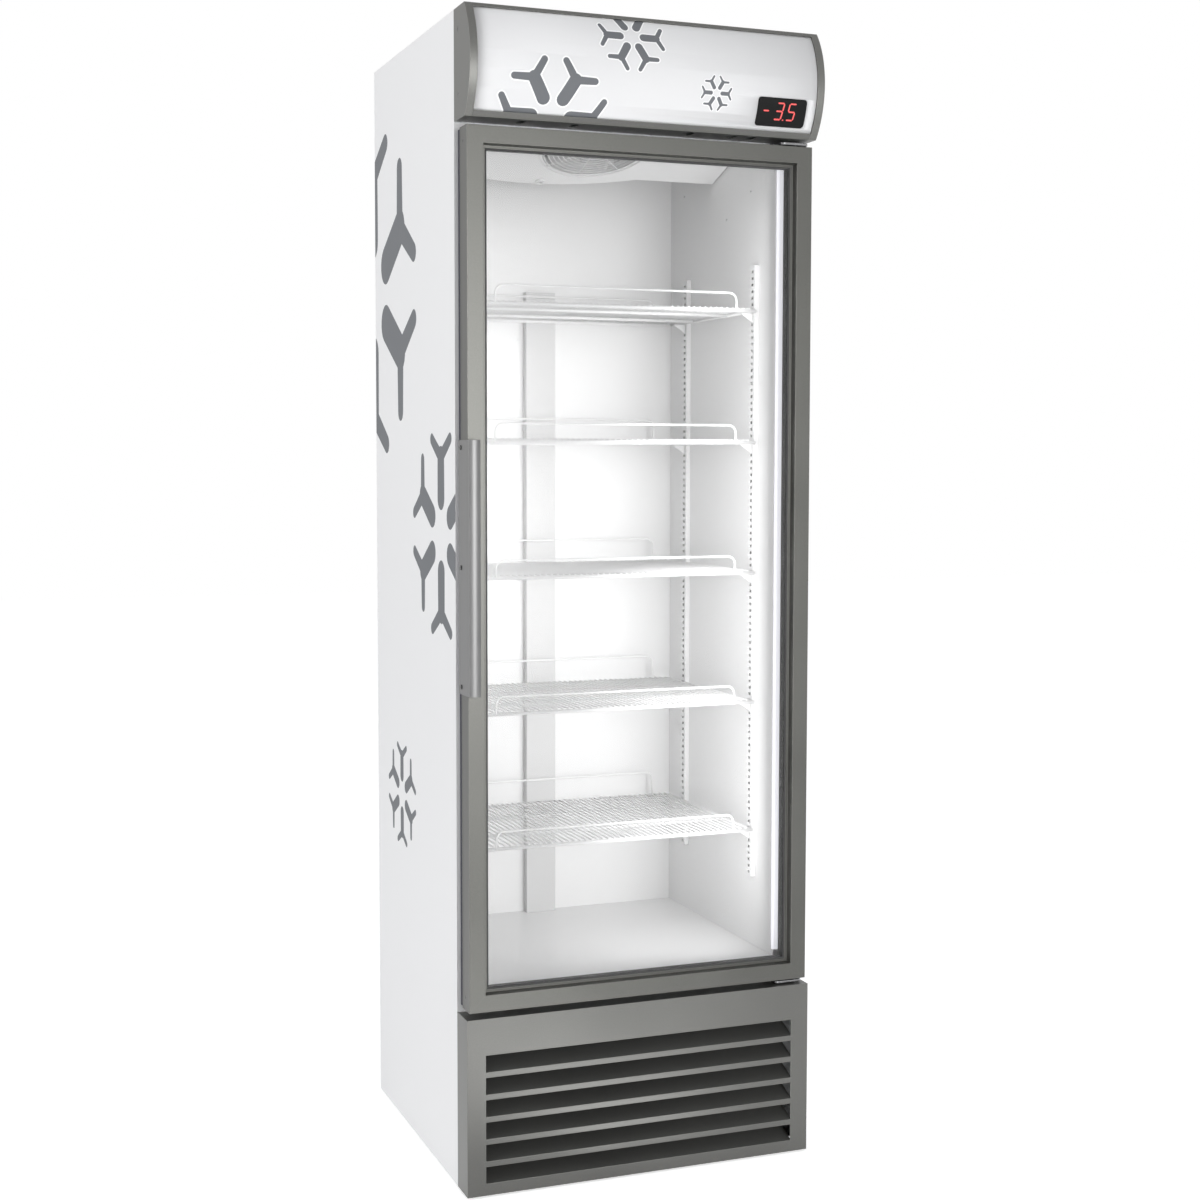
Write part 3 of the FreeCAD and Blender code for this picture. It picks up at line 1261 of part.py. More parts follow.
def build():
    os.makedirs("parts", exist_ok=True)
    panel = side_panel()
    save("side_panel_right", panel)
    save("side_panel_left", mirrored(panel))
    save("top_panel", top_panel())
    save("rear_panel", rear_panel())
    save("foam_insulation", foam_insulation())
    save("inner_liner", inner_liner())
    save("front_frame", front_frame())
    save("interior_lamp", interior_lamp())
    save("base_frame", base_frame())
    save("levelling_feet", [levelling_foot(p) for p in foot_places()])
    save("front_grille", front_grille())
    save("rear_grille", rear_grille())

    save("canopy_cap_left", canopy_cap(-1))
    save("canopy_cap_right", canopy_cap(1))
    save("canopy_trim_top", canopy_trim_top())
    save("canopy_trim_bottom", canopy_trim_bottom())
    save("sign_panel", sign_panel())
    save("temperature_display", temperature_display())
    save("canopy_back_plate", canopy_back_plate())
    save("canopy_lamp", canopy_lamp())

    save("hinge_bracket_top", hinge_bracket(True))
    save("hinge_bracket_bottom", hinge_bracket(False))
    save("hinge_pins", [hinge_pin(True), hinge_pin(False)])
    save("cabinet_screws", cabinet_screws())

    save("door_frame", door_frame())
    outer, gap, inner = glass_planes()
    save("glass_outer", glass_pane(outer))
    save("glass_inner", glass_pane(inner))
    save("glass_spacer", glass_spacer())
    save("door_gasket", door_gasket())
    save("door_handle", door_handle())
    save("door_screws", door_screws())
    save("hinge_bushes", [hinge_bush(True), hinge_bush(False)])

    front_right, rear_right = [pilaster(row) for row in PILASTER_ROWS]
    save("pilaster_front_right", front_right)
    save("pilaster_rear_right", rear_right)
    save("pilaster_front_left", mirrored(front_right))
    save("pilaster_rear_left", mirrored(rear_right))
    lowest = shelf(SHELF_LEVELS[0])
    for i in range(SHELF_COUNT):
        save("shelf_%d" % (i + 1), [moved(piece, V(0, 0, SHELF_STEP * i)) for piece in lowest])
    clips = [shelf_clip(level, y) for level in SHELF_LEVELS for y in PILASTER_ROWS]
    save("shelf_clips", clips + [mirrored(clip) for clip in clips])

    save("evaporator_cover", evaporator_cover())
    save("fan_guard", fan_guard())
    save("evaporator_fan", evaporator_fan())
    save("evaporator_motor", evaporator_motor())
    save("evaporator_coil", evaporator_coil())
    save("drain_duct", drain_duct())
    save("temperature_probe", temperature_probe())

    save("compressor", compressor())
    save("compressor_feet", compressor_feet())
    save("condenser_coil", condenser_coil())
    save("fan_shroud", fan_shroud())
    save("condenser_fan", condenser_fan())
    save("condenser_motor", condenser_motor())
    save("condensate_tray", condensate_tray())
    save("filter_drier", filter_drier())
    save("refrigerant_lines", refrigerant_lines())
    save("electrical_box", electrical_box())
    save("cable_gland", cable_gland())


build()
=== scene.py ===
import json
import math
from collections import Counter

import bmesh
import bpy
from mathutils import Matrix, Vector
from mathutils.geometry import delaunay_2d_cdt

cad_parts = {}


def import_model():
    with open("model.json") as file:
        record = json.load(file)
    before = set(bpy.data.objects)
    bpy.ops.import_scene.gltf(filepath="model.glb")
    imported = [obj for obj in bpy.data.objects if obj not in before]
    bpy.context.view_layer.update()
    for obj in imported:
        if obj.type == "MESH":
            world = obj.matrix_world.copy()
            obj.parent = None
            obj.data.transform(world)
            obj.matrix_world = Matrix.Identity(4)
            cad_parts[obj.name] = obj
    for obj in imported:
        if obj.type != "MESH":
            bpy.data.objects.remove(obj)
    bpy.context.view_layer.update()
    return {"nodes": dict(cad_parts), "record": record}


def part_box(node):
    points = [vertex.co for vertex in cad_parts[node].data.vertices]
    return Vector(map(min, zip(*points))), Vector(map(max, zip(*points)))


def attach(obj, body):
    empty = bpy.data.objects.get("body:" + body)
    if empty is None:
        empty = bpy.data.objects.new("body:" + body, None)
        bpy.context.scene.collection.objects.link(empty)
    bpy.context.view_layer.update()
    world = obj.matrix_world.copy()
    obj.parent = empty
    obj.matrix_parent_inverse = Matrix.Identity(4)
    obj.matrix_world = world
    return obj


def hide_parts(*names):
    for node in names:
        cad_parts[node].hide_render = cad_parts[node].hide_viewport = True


# Upright display refrigerator with one glass door. Metres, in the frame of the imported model:
# +Z up, -Y the front, the origin on the floor in the middle.

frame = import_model()
scene = bpy.context.scene
nodes = frame["nodes"]
MM = 0.001
FRONT_WAY = Vector((0, -1, 0))
X_WAY, Y_WAY, Z_WAY = Vector((1, 0, 0)), Vector((0, 1, 0)), Vector((0, 0, 1))


# ---------------------------------------------------------------- materials

EDGE_RADIUS = 0.0013
# sizes in metres of the broad tone patches, of the patches of painted highlight on corners, and of the
# smears on glass
BROAD_PATCH, HIGHLIGHT_PATCH, SMEAR_PATCH = 0.25, 0.02, 0.12


class Shader:
    """A node tree, built with short calls."""

    def __init__(self, owner):
        owner.use_nodes = True
        self.owner = owner
        self.tree = owner.node_tree
        self.tree.nodes.clear()

    @classmethod
    def material(cls, name):
        made = cls(bpy.data.materials.new(name))
        made.place = made.node("ShaderNodeTexCoord").outputs["Object"]
        return made

    def node(self, kind, links=None, **settings):
        made = self.tree.nodes.new(kind)
        for key, value in settings.items():
            setattr(made, key, value)
        for key, value in (links or {}).items():
            if isinstance(value, bpy.types.NodeSocket):
                self.tree.links.new(value, made.inputs[key])
            else:
                made.inputs[key].default_value = value
        return made

    def math(self, operation, first, second=0.0, third=0.0, clamp=False):
        links = {0: first, 1: second, 2: third}
        return self.node("ShaderNodeMath", links, operation=operation, use_clamp=clamp).outputs[0]

    def noise(self, at, size, detail=2.0):
        links = {"Vector": at, "Scale": 1 / size, "Detail": detail, "Roughness": 0.55}
        return self.node("ShaderNodeTexNoise", links).outputs[0]

    def cells(self, at, size):
        links = {"Vector": at, "Scale": 1 / size}
        colour = self.node("ShaderNodeTexVoronoi", links).outputs["Color"]
        return self.node("ShaderNodeSeparateColor", {0: colour}).outputs[0]

    def spread(self, value, low, high, start=0.3, stop=0.7):
        links = {0: value, 1: start, 2: stop, 3: low, 4: high}
        return self.node("ShaderNodeMapRange", links).outputs[0]

    def ramp(self, value, dark, light):
        made = self.node("ShaderNodeValToRGB", {0: value})
        ends = made.color_ramp.elements
        ends[0].position, ends[1].position = 0.3, 0.7
        ends[0].color, ends[1].color = (*dark, 1), (*light, 1)
        return made.outputs[0]

    def mix(self, amount, first, second):
        made = self.node("ShaderNodeMix", {0: amount, 6: first, 7: second}, data_type="RGBA")
        return made.outputs[2]

    def end(self, shader):
        self.node("ShaderNodeOutputMaterial", {"Surface": shader})
        return self.owner


def finish(name, base, spread=0.02, grain=0.002, depth=0.00001, rough=(0.35, 0.45), metal=0.0,
           stretch=(1, 1, 1), edge=0.0, coat=0.0, cells=False, glow=0.0, gloss=0.5):
    """An opaque surface: tone that varies in patches and in grain, uneven gloss, fine relief, and corners
    painted paler as a painted highlight.

    grain and depth are the size and the height of the fine relief in metres. edge is how much paler a
    corner is painted, as a painted highlight, and glow the strength of its own light.
    """
    s = Shader.material(name)
    at = s.node("ShaderNodeMapping", {"Vector": s.place, "Scale": stretch}).outputs[0]
    fine = s.cells(at, grain) if cells else s.noise(at, grain)
    broad = s.noise(at, BROAD_PATCH)
    tone = s.math("MULTIPLY_ADD", fine, 0.6, s.math("MULTIPLY", broad, 0.4))
    dark = [c * (1 - spread) for c in base]
    light = [min(c * (1 + spread), 1.0) for c in base]
    colour = s.ramp(tone, dark, light)
    bevel = s.node("ShaderNodeBevel", {"Radius": EDGE_RADIUS}, samples=4).outputs[0]
    # painted highlight: where the bevelled normal turns away from the flat one, the colour is mixed in
    # patches towards a paler tone
    if edge:
        flat = s.node("ShaderNodeNewGeometry").outputs["Normal"]
        turn = s.node("ShaderNodeVectorMath", {0: bevel, 1: flat}, operation="DOT_PRODUCT").outputs["Value"]
        corner = s.spread(turn, 1.0, 0.0, 0.75, 0.98)
        highlight_patches = s.spread(s.noise(at, HIGHLIGHT_PATCH), 0.55, 1.0)
        pale = tuple(min(c * (1 + edge), 1.0) for c in base) + (1.0,)
        colour = s.mix(s.math("MULTIPLY", corner, highlight_patches), colour, pale)
    relief = s.node("ShaderNodeBump", {"Height": fine, "Distance": depth, "Strength": 1.0, "Normal": bevel})
    settings = {"Base Color": colour, "Roughness": s.spread(tone, *rough), "Metallic": metal,
                "Coat Weight": coat, "Coat Roughness": 0.15, "Specular IOR Level": gloss,
                "Normal": relief.outputs[0]}
    if glow:
        settings["Emission Color"] = (*base, 1)
        settings["Emission Strength"] = glow
    return s.end(s.node("ShaderNodeBsdfPrincipled", settings).outputs[0])


def glass():
    """Clear pane: see-through, with a reflection that grows towards grazing views and a trace of smears."""
    s = Shader.material("pane_glass")
    facing = s.node("ShaderNodeLayerWeight", {"Blend": 0.5}).outputs["Facing"]
    sheen = s.math("MULTIPLY_ADD", s.math("POWER", facing, 4.0), 0.6, 0.008)
    smear = s.spread(s.noise(s.place, SMEAR_PATCH, 4.0), 0.0, 0.05)
    clear = s.node("ShaderNodeBsdfTransparent", {"Color": (0.99, 0.99, 0.99, 1)}).outputs[0]
    gloss = s.node("ShaderNodeBsdfGlossy", {"Color": (1, 1, 1, 1), "Roughness": smear}).outputs[0]
    return s.end(s.node("ShaderNodeMixShader", {0: sheen, 1: clear, 2: gloss}).outputs[0])


# each finish's edge value sets how strong its painted highlight on corners is
FINISHES = {
    "white_panel": finish("white_panel", (0.80, 0.80, 0.805), 0.006, 0.0024, 0.000012, (0.38, 0.44),
                          edge=0.05),
    "white_liner": finish("white_liner", (0.82, 0.82, 0.82), 0.008, 0.003, 0.00001, (0.3, 0.38)),
    "white_steel": finish("white_steel", (0.84, 0.84, 0.84), 0.01, 0.0018, 0.00001, (0.3, 0.4), edge=0.05),
    "white_wire": finish("white_wire", (0.82, 0.82, 0.82), 0.012, 0.0012, 0.00001, (0.35, 0.45)),
    "sign_white": finish("sign_white", (0.76, 0.76, 0.765), 0.006, 0.004, 0.000006, (0.5, 0.6), gloss=0.1),
    "lamp_lens": finish("lamp_lens", (0.90, 0.90, 0.95), 0.02, 0.0015, 0.00003, (0.3, 0.4), glow=0.62,
                        stretch=(1, 1, 0.02)),
    "foam": finish("foam", (0.80, 0.70, 0.46), 0.12, 0.0015, 0.0003, (0.85, 0.95), cells=True),
    "grey_paint": finish("grey_paint", (0.120, 0.120, 0.113), 0.16, 0.0018, 0.00002, (0.33, 0.41), 0.5,
                         edge=1.4),
    "grey_plastic": finish("grey_plastic", (0.145, 0.145, 0.137), 0.13, 0.0018, 0.00003, (0.38, 0.46), 0.7,
                           edge=1.3),
    "grey_aluminium": finish("grey_aluminium", (0.100, 0.100, 0.093), 0.17, 0.0018, 0.00002, (0.33, 0.41),
                             0.8, edge=1.6),
    "galvanised_steel": finish("galvanised_steel", (0.52, 0.53, 0.54), 0.12, 0.012, 0.00001, (0.35, 0.5),
                               0.85, edge=0.2, cells=True),
    "steel": finish("steel", (0.16, 0.16, 0.16), 0.1, 0.0008, 0.00002, (0.3, 0.4), 0.9, edge=0.8),
    "chrome": finish("chrome", (0.27, 0.27, 0.275), 0.08, 0.004, 0.000002, (0.2, 0.3), 1.0, edge=1.2),
    "aluminium": finish("aluminium", (0.165, 0.165, 0.165), 0.16, 0.0007, 0.00002, (0.3, 0.46), 0.75,
                        stretch=(1, 1, 0.02), edge=0.5),
    "coil_aluminium": finish("coil_aluminium", (0.62, 0.63, 0.64), 0.08, 0.003, 0.00002, (0.35, 0.5), 0.9),
    "display_black": finish("display_black", (0.008, 0.008, 0.008), 0.2, 0.002, 0.000002, (0.25, 0.35),
                            gloss=0.12),
    "gasket_rubber": finish("gasket_rubber", (0.045, 0.045, 0.06), 0.15, 0.0006, 0.00003, (0.55, 0.7)),
    "black_plastic": finish("black_plastic", (0.022, 0.022, 0.022), 0.2, 0.0008, 0.00005, (0.4, 0.55)),
    "black_motor": finish("black_motor", (0.04, 0.04, 0.042), 0.25, 0.0015, 0.0001, (0.45, 0.65), edge=0.8),
    "compressor_black": finish("compressor_black", (0.018, 0.018, 0.018), 0.2, 0.004, 0.00004, (0.18, 0.32),
                               coat=0.4),
    "copper": finish("copper", (0.72, 0.36, 0.22), 0.14, 0.006, 0.00001, (0.22, 0.4), 1.0),
    "glass": glass(),
}
DECAL = finish("decal_grey", (0.150, 0.157, 0.168), 0.03, 0.002, 0.000005, (0.5, 0.6), gloss=0.25)
DECAL_EDGE = finish("decal_edge_white", (0.92, 0.92, 0.92), 0.01, 0.002, 0.000005, (0.5, 0.6), gloss=0.25)
DIGIT_RED = finish("digit_red", (0.75, 0.09, 0.085), 0.06, 0.002, 0.000005, (0.3, 0.4), glow=0.55)
LENS_UNLIT = finish("lens_unlit", (0.42, 0.42, 0.44), 0.02, 0.0015, 0.00003, (0.3, 0.4),
                    stretch=(0.02, 1, 1))
# near-black condenser coil: painted shade, so that the gaps between the grille's louvres read as dark
COIL_SHADE_BLACK = finish("coil_shade_black", (0.012, 0.012, 0.012), 0.2, 0.003, 0.00002, (0.5, 0.65), gloss=0.2)
FAN_WHITE = finish("fan_white", (0.62, 0.62, 0.62), 0.01, 0.003, 0.00001, (0.4, 0.5))
PLUG_GREY = finish("plug_grey", (0.16, 0.16, 0.165), 0.05, 0.001, 0.00001, (0.4, 0.5))

for part in frame["record"]["subparts"]:
    mesh = nodes[part["node"]].data
    if not mesh.materials:
        mesh.materials.append(None)
    for holder in nodes[part["node"]].material_slots:
        holder.material = FINISHES[part["material_slot"]]
# parts that take another finish than their slot's; the condenser coil's near-black is painted shade behind
# the grille
SPECIAL = {
    "glass_spacer": FINISHES["black_plastic"], "canopy_lamp": LENS_UNLIT, "condenser_coil": COIL_SHADE_BLACK,
    "evaporator_fan": FAN_WHITE, "evaporator_motor": FAN_WHITE, "drain_duct": FAN_WHITE,
}
for name, material in SPECIAL.items():
    for holder in nodes[name].material_slots:
        holder.material = material


# ---------------------------------------------------------------- mesh helpers

def piece(name, bm, materials, body, stands_for=()):
    """Makes an object of a finished mesh and lets it ride on a body."""
    bmesh.ops.recalc_face_normals(bm, faces=bm.faces)
    mesh = bpy.data.meshes.new(name)
    bm.to_mesh(mesh)
    bm.free()
    for material in materials:
        mesh.materials.append(material)
    made = bpy.data.objects.new(name, mesh)
    scene.collection.objects.link(made)
    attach(made, body)
    if stands_for:
        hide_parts(*stands_for)
    return made


def turns(sides):
    """The angles of that many even steps round a circle."""
    return [2 * math.pi * k / sides for k in range(sides)]


def circle(radius, sides):
    """Profile of a round wire."""
    return [(radius * math.cos(a), radius * math.sin(a)) for a in turns(sides)]


def bridge(bm, rings, smooth=True):
    """Faces between each closed ring of points and the next one."""
    faces = []
    for first, second in zip(rings, rings[1:]):
        for k in range(len(first)):
            j = (k + 1) % len(first)
            faces.append(bm.faces.new((first[k], first[j], second[j], second[k])))
            faces[-1].smooth = smooth
    return faces


def sweep(bm, path, profile, up, closed=False):
    """Carries a profile along a flat path with mitred corners. up is the normal of the path's plane."""
    count = len(path)
    rings = []
    for i, point in enumerate(path):
        before = (point - path[i - 1]).normalized() if closed or i else None
        after = (path[(i + 1) % count] - point).normalized() if closed or i < count - 1 else None
        before, after = before or after, after or before
        heading = (before + after).normalized()
        side = heading.cross(up) / max(heading.dot(after), 0.2)
        rings.append([bm.verts.new(point + side * a + up * b) for a, b in profile])
    bridge(bm, rings + rings[:1] if closed else rings)
    if not closed:
        bm.faces.new(rings[0])
        bm.faces.new(rings[-1])


CORNER_STEPS = 6


def rounded(points, reach):
    """Rounds the square corners of a flat path."""
    path = [points[0]]
    for a, b, c in zip(points, points[1:], points[2:]):
        to_a, to_c = (a - b).normalized(), (c - b).normalized()
        centre = b + (to_a + to_c) * reach
        for k in range(CORNER_STEPS + 1):
            t = math.pi / 2 * k / CORNER_STEPS
            path.append(centre - to_c * reach * math.cos(t) - to_a * reach * math.sin(t))
    return path + [points[-1]]


def flat_regions(outlines, cuts=()):
    """Triangles of overlapping flat outlines, each with the outlines that it lies in."""
    points, faces, edges = [], [], []
    for outline in outlines:
        faces.append(list(range(len(points), len(points) + len(outline))))
        points += [Vector(p) for p in outline]
    for start, end in cuts:
        edges.append((len(points), len(points) + 1))
        points += [Vector(start), Vector(end)]
    verts, _, triangles, _, _, owners = delaunay_2d_cdt(points, edges, faces, 1, 1e-7)
    return verts, [(t, set(o)) for t, o in zip(triangles, owners)]


def border(polygons):
    """The edges that only one of the polygons has."""
    edges = [edge for p in polygons for edge in zip(p, list(p[1:]) + [p[0]])]
    uses = Counter(frozenset(edge) for edge in edges)
    return [edge for edge in edges if uses[frozenset(edge)] == 1]


def sheet(bm, verts, triangles, outer, inner):
    """A thin solid from flat triangles (corners, material index), between two mappings of the plane."""
    top, low = {}, {}
    for corners, _ in triangles:
        for k in corners:
            if k not in top:
                top[k] = bm.verts.new(outer(*verts[k]))
                low[k] = bm.verts.new(inner(*verts[k]))
    for corners, index in triangles:
        bm.faces.new([top[k] for k in corners]).material_index = index
        bm.faces.new([low[k] for k in reversed(corners)])
    for a, b in border([corners for corners, _ in triangles]):
        bm.faces.new((top[a], low[a], low[b], top[b]))


# ---------------------------------------------------------------- snow crystals on the panels

CAP_STEPS = 10
# shares of a crystal's reach: where the arm starts and forks, its branches' length, and half widths
ARM_START, ARM_FORK, BRANCH = 0.335, 0.70, 0.335
STEM_HALF = (0.109, 0.105)
BRANCH_HALF = (0.065, 0.054)


def limb(start, end, first, last):
    """Outline of a rounded bar whose half width goes from first to last."""
    along = (end - start).normalized()
    across = Vector((-along.y, along.x))
    outline = []
    for middle, half, turn in ((end, last, -0.5), (start, first, 0.5)):
        for k in range(CAP_STEPS + 1):
            t = math.pi * (k / CAP_STEPS + turn)
            outline.append(middle + (along * math.cos(t) + across * math.sin(t)) * half)
    return outline


def crystal(centre, reach, tilt, grow=0.0):
    """Outlines of a six-armed snow crystal: a tapered stem and two side branches to each arm."""
    r = reach * MM
    centre = Vector(centre) * MM
    stem = [half * r + grow * MM for half in STEM_HALF]
    side = [half * r + grow * MM for half in BRANCH_HALF]
    outlines = []
    for arm in range(6):
        angle = math.radians(tilt + 60 * arm)
        along = Vector((math.cos(angle), math.sin(angle)))
        fork = centre + along * ARM_FORK * r
        outlines.append(limb(centre + along * ARM_START * r, fork, *stem))
        for turn in (-60, 60):
            way = angle + math.radians(turn)
            tip = fork + Vector((math.cos(way), math.sin(way))) * BRANCH * r
            outlines.append(limb(fork, tip, *side))
    return outlines


# centre in mm and reach; on the sign also the width of the white edge
SIDE_CRYSTALS = [((327.8, 1561.5), 325.0), ((-134.4, 1120.0), 191.0), ((135.7, 624.2), 103.5)]
SIGN_CRYSTALS = [((-173.2, 1810.4), 103.0, 2.5), ((-35.1, 1954.4), 62.7, 2.2), ((117.1, 1869.9), 30.7, 1.5)]


def side_panel(name):
    """The cabinet's side as a sheet, with its crystals printed on it."""
    lo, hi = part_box(name)
    outside, inside = (lo.x, hi.x) if lo.x < 0 else (hi.x, lo.x)
    outlines = [[(lo.y, lo.z), (hi.y, lo.z), (hi.y, hi.z), (lo.y, hi.z)]]
    for centre, reach in SIDE_CRYSTALS:
        outlines += crystal(centre, reach, 90)
    verts, regions = flat_regions(outlines)
    triangles = [(t, 1 if len(owners) > 1 else 0) for t, owners in regions if 0 in owners]
    bm = bmesh.new()
    sheet(bm, verts, triangles, lambda y, z: (outside, y, z), lambda y, z: (inside, y, z))
    piece(name + "_skin", bm, [FINISHES["white_panel"], DECAL], "cabinet", [name])


# the canopy's front is an arc: its height and nose are the caps', and it rises 32 mm over its chord
ARC_RISE = 32 * MM
SIGN_RECESS, SIGN_SHEET, DISPLAY_RECESS = 2.5 * MM, 2 * MM, 1.3 * MM
cap_lo, cap_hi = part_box("canopy_cap_left")
ARC_R = ((cap_hi.z - cap_lo.z) ** 2 / 4 + ARC_RISE ** 2) / (2 * ARC_RISE)
ARC_Y = cap_lo.y + ARC_R
ARC_Z = (cap_lo.z + cap_hi.z) / 2
SIGN_R = ARC_R - SIGN_RECESS
DISPLAY_R = ARC_R - DISPLAY_RECESS
SIGN_ROWS = 30
# the sign's window stands this far off the display, and its corners have this radius in five steps
WINDOW_CLEAR, WINDOW_CORNER, WINDOW_STEPS = 0.3 * MM, 5.3 * MM, 5
sign_lo, sign_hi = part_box("sign_panel")
shown_lo, shown_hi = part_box("temperature_display")


def on_arc(radius):
    """Lays a place and a level on the arc of that radius."""
    return lambda x, z: (x, ARC_Y - math.sqrt(radius ** 2 - (z - ARC_Z) ** 2), z)


def unrolled(z):
    """A level on the sign, measured along its curve."""
    return ARC_Z + SIGN_R * math.asin((z - ARC_Z) / SIGN_R)


def rolled(radius):
    """Takes a point of the unrolled sign back to its curve."""
    return lambda x, v: on_arc(radius)(x, ARC_Z + SIGN_R * math.sin((v - ARC_Z) / SIGN_R))


def sign_panel():
    """The curved sign with its printed crystals and the window round the display."""
    lo, hi = sign_lo, sign_hi
    inset = WINDOW_CLEAR - WINDOW_CORNER
    window = []
    for k, (sx, sz) in enumerate(((1, -1), (1, 1), (-1, 1), (-1, -1))):
        x = (shown_hi.x + inset) if sx > 0 else (shown_lo.x - inset)
        z = (shown_hi.z + inset) if sz > 0 else (shown_lo.z - inset)
        for step in range(WINDOW_STEPS + 1):
            t = math.pi / 2 * (k - 1 + step / WINDOW_STEPS)
            window.append((x + WINDOW_CORNER * math.cos(t), unrolled(z + WINDOW_CORNER * math.sin(t))))
    halos, marks = [], []
    for centre, reach, halo in SIGN_CRYSTALS:
        halos += crystal(centre, reach, 0, halo)
        marks += crystal(centre, reach, 0)
    low, high = unrolled(lo.z), unrolled(hi.z)
    outlines = [[(lo.x, low), (hi.x, low), (hi.x, high), (lo.x, high)], window] + halos + marks
    first_mark = 2 + len(halos)
    levels = [low + (high - low) * k / SIGN_ROWS for k in range(1, SIGN_ROWS)]
    verts, regions = flat_regions(outlines, [((lo.x, z), (hi.x, z)) for z in levels])
    triangles = []
    for t, owners in regions:
        if 0 in owners and 1 not in owners:
            top = max(owners)
            triangles.append((t, 2 if top >= first_mark else 1 if top > 1 else 0))
    bm = bmesh.new()
    sheet(bm, verts, triangles, rolled(SIGN_R), rolled(SIGN_R - SIGN_SHEET))
    materials = [FINISHES["sign_white"], DECAL_EDGE, DECAL]
    made = piece("sign_face", bm, materials, "cabinet", ["sign_panel"])
    for face in made.data.polygons:
        face.use_smooth = abs(face.normal.y) > 0.5


# the ends of each segment, in widths and heights of a digit
SEGMENTS = {
    "a": ((0, 1), (1, 1)), "b": ((1, 1), (1, 0.5)), "c": ((1, 0.5), (1, 0)), "d": ((0, 0), (1, 0)),
    "f": ((0, 0.5), (0, 1)), "g": ((0, 0.5), (1, 0.5)),
}
# places and sizes on the display, in mm from its lower left corner
READING = [((32.8, 10.6), "abcdg"), ((56.1, 10.6), "acdfg")]
MINUS = [(10.6, 23.4), (22.4, 23.4)]
DOT = (50.4, 10.2)
DIGIT_WIDE, DIGIT_HIGH, DIGIT_LEAN = 12.6, 26.0, 4.3
SEGMENT_HALF, SEGMENT_GAP, DIGIT_PROUD = 1.2 * MM, 0.35 * MM, 0.3 * MM


def digits():
    """Red seven-segment reading on the black display."""
    bm = bmesh.new()
    corner = Vector((shown_lo.x, shown_lo.z))

    def raised(outline):
        sheet(bm, outline, [(tuple(range(len(outline))), 0)],
              on_arc(DISPLAY_R + DIGIT_PROUD), on_arc(DISPLAY_R - DIGIT_PROUD))

    def bar(ends):
        start, end = [corner + Vector(point) * MM for point in ends]
        along = (end - start).normalized()
        across = Vector((-along.y, along.x)) * SEGMENT_HALF
        a, b = start + along * SEGMENT_GAP, end - along * SEGMENT_GAP
        in_a, in_b = a + along * SEGMENT_HALF, b - along * SEGMENT_HALF
        raised([a, in_a - across, in_b - across, b, in_b + across, in_a + across])

    for origin, lit in READING:
        for name in lit:
            bar([(origin[0] + DIGIT_WIDE * u + DIGIT_LEAN * v, origin[1] + DIGIT_HIGH * v)
                 for u, v in SEGMENTS[name]])
    bar(MINUS)
    dot = corner + Vector(DOT) * MM
    raised([dot + Vector(point) for point in circle(SEGMENT_HALF, 8)])
    piece("display_digits", bm, [DIGIT_RED], "cabinet")


side_panel("side_panel_left")
side_panel("side_panel_right")
sign_panel()
digits()


# ---------------------------------------------------------------- wire shelves

ROD_R, EDGE_R, WIRE_R, RAIL_R = 3 * MM, 3.3 * MM, 1.5 * MM, 2 * MM
EDGE_IN, CROSS_IN = 4 * MM, 118 * MM
WIRE_COUNT, WIRE_RISE, WIRE_PAST = 48, 4 * MM, 1.5 * MM
RAIL_FRONT, RAIL_REAR, RAIL_IN, RAIL_BEND = 28 * MM, 45 * MM, 40 * MM, 14 * MM


def shelf(name):
    """Round-wire shelf: edge rods, two cross rods, wires front to back and two stop rails."""
    lo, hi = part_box(name)
    level = lo.z + ROD_R
    bm = bmesh.new()
    rod, edge, wire, rail = circle(ROD_R, 12), circle(EDGE_R, 14), circle(WIRE_R, 8), circle(RAIL_R, 10)
    front, rear = lo.y + EDGE_IN, hi.y - EDGE_IN
    for y, shape in ((front, edge), (lo.y + CROSS_IN, rod), (hi.y - CROSS_IN, rod), (rear, edge)):
        sweep(bm, [Vector((lo.x, y, level)), Vector((hi.x, y, level))], shape, Z_WAY)
    for x in (lo.x + ROD_R, hi.x - ROD_R):
        sweep(bm, [Vector((x, front, level)), Vector((x, rear, level))], rod, Z_WAY)
    step = (hi.x - lo.x - 2 * ROD_R) / (WIRE_COUNT + 1)
    z = level + WIRE_RISE
    for i in range(WIRE_COUNT):
        x = lo.x + ROD_R + step * (i + 1)
        sweep(bm, [Vector((x, front - WIRE_PAST, z)), Vector((x, rear + WIRE_PAST, z))], wire, Z_WAY)
    base, end = level + ROD_R, hi.x - RAIL_IN
    for y, height in ((lo.y + RAIL_R, RAIL_FRONT), (hi.y - RAIL_R, RAIL_REAR)):
        corners = [Vector((-end, y, base - RAIL_R)), Vector((-end, y, base + height)),
                   Vector((end, y, base + height)), Vector((end, y, base - RAIL_R))]
        sweep(bm, rounded(corners, RAIL_BEND), rail, Y_WAY)
    piece(name + "_wires", bm, [FINISHES["white_wire"]], "cabinet", [name])


for number in range(1, 6):
    shelf(f"shelf_{number}")


# ---------------------------------------------------------------- fan guard

GUARD_SLOPE = math.radians(18.93)
GUARD_R, GUARD_HUB_R, GUARD_WIRE_R, GUARD_HALF = 103 * MM, 20 * MM, 0.95 * MM, 0.9 * MM
GUARD_RINGS, GUARD_SPOKES, GUARD_SIDES, HUB_SIDES = 10, 8, 56, 32


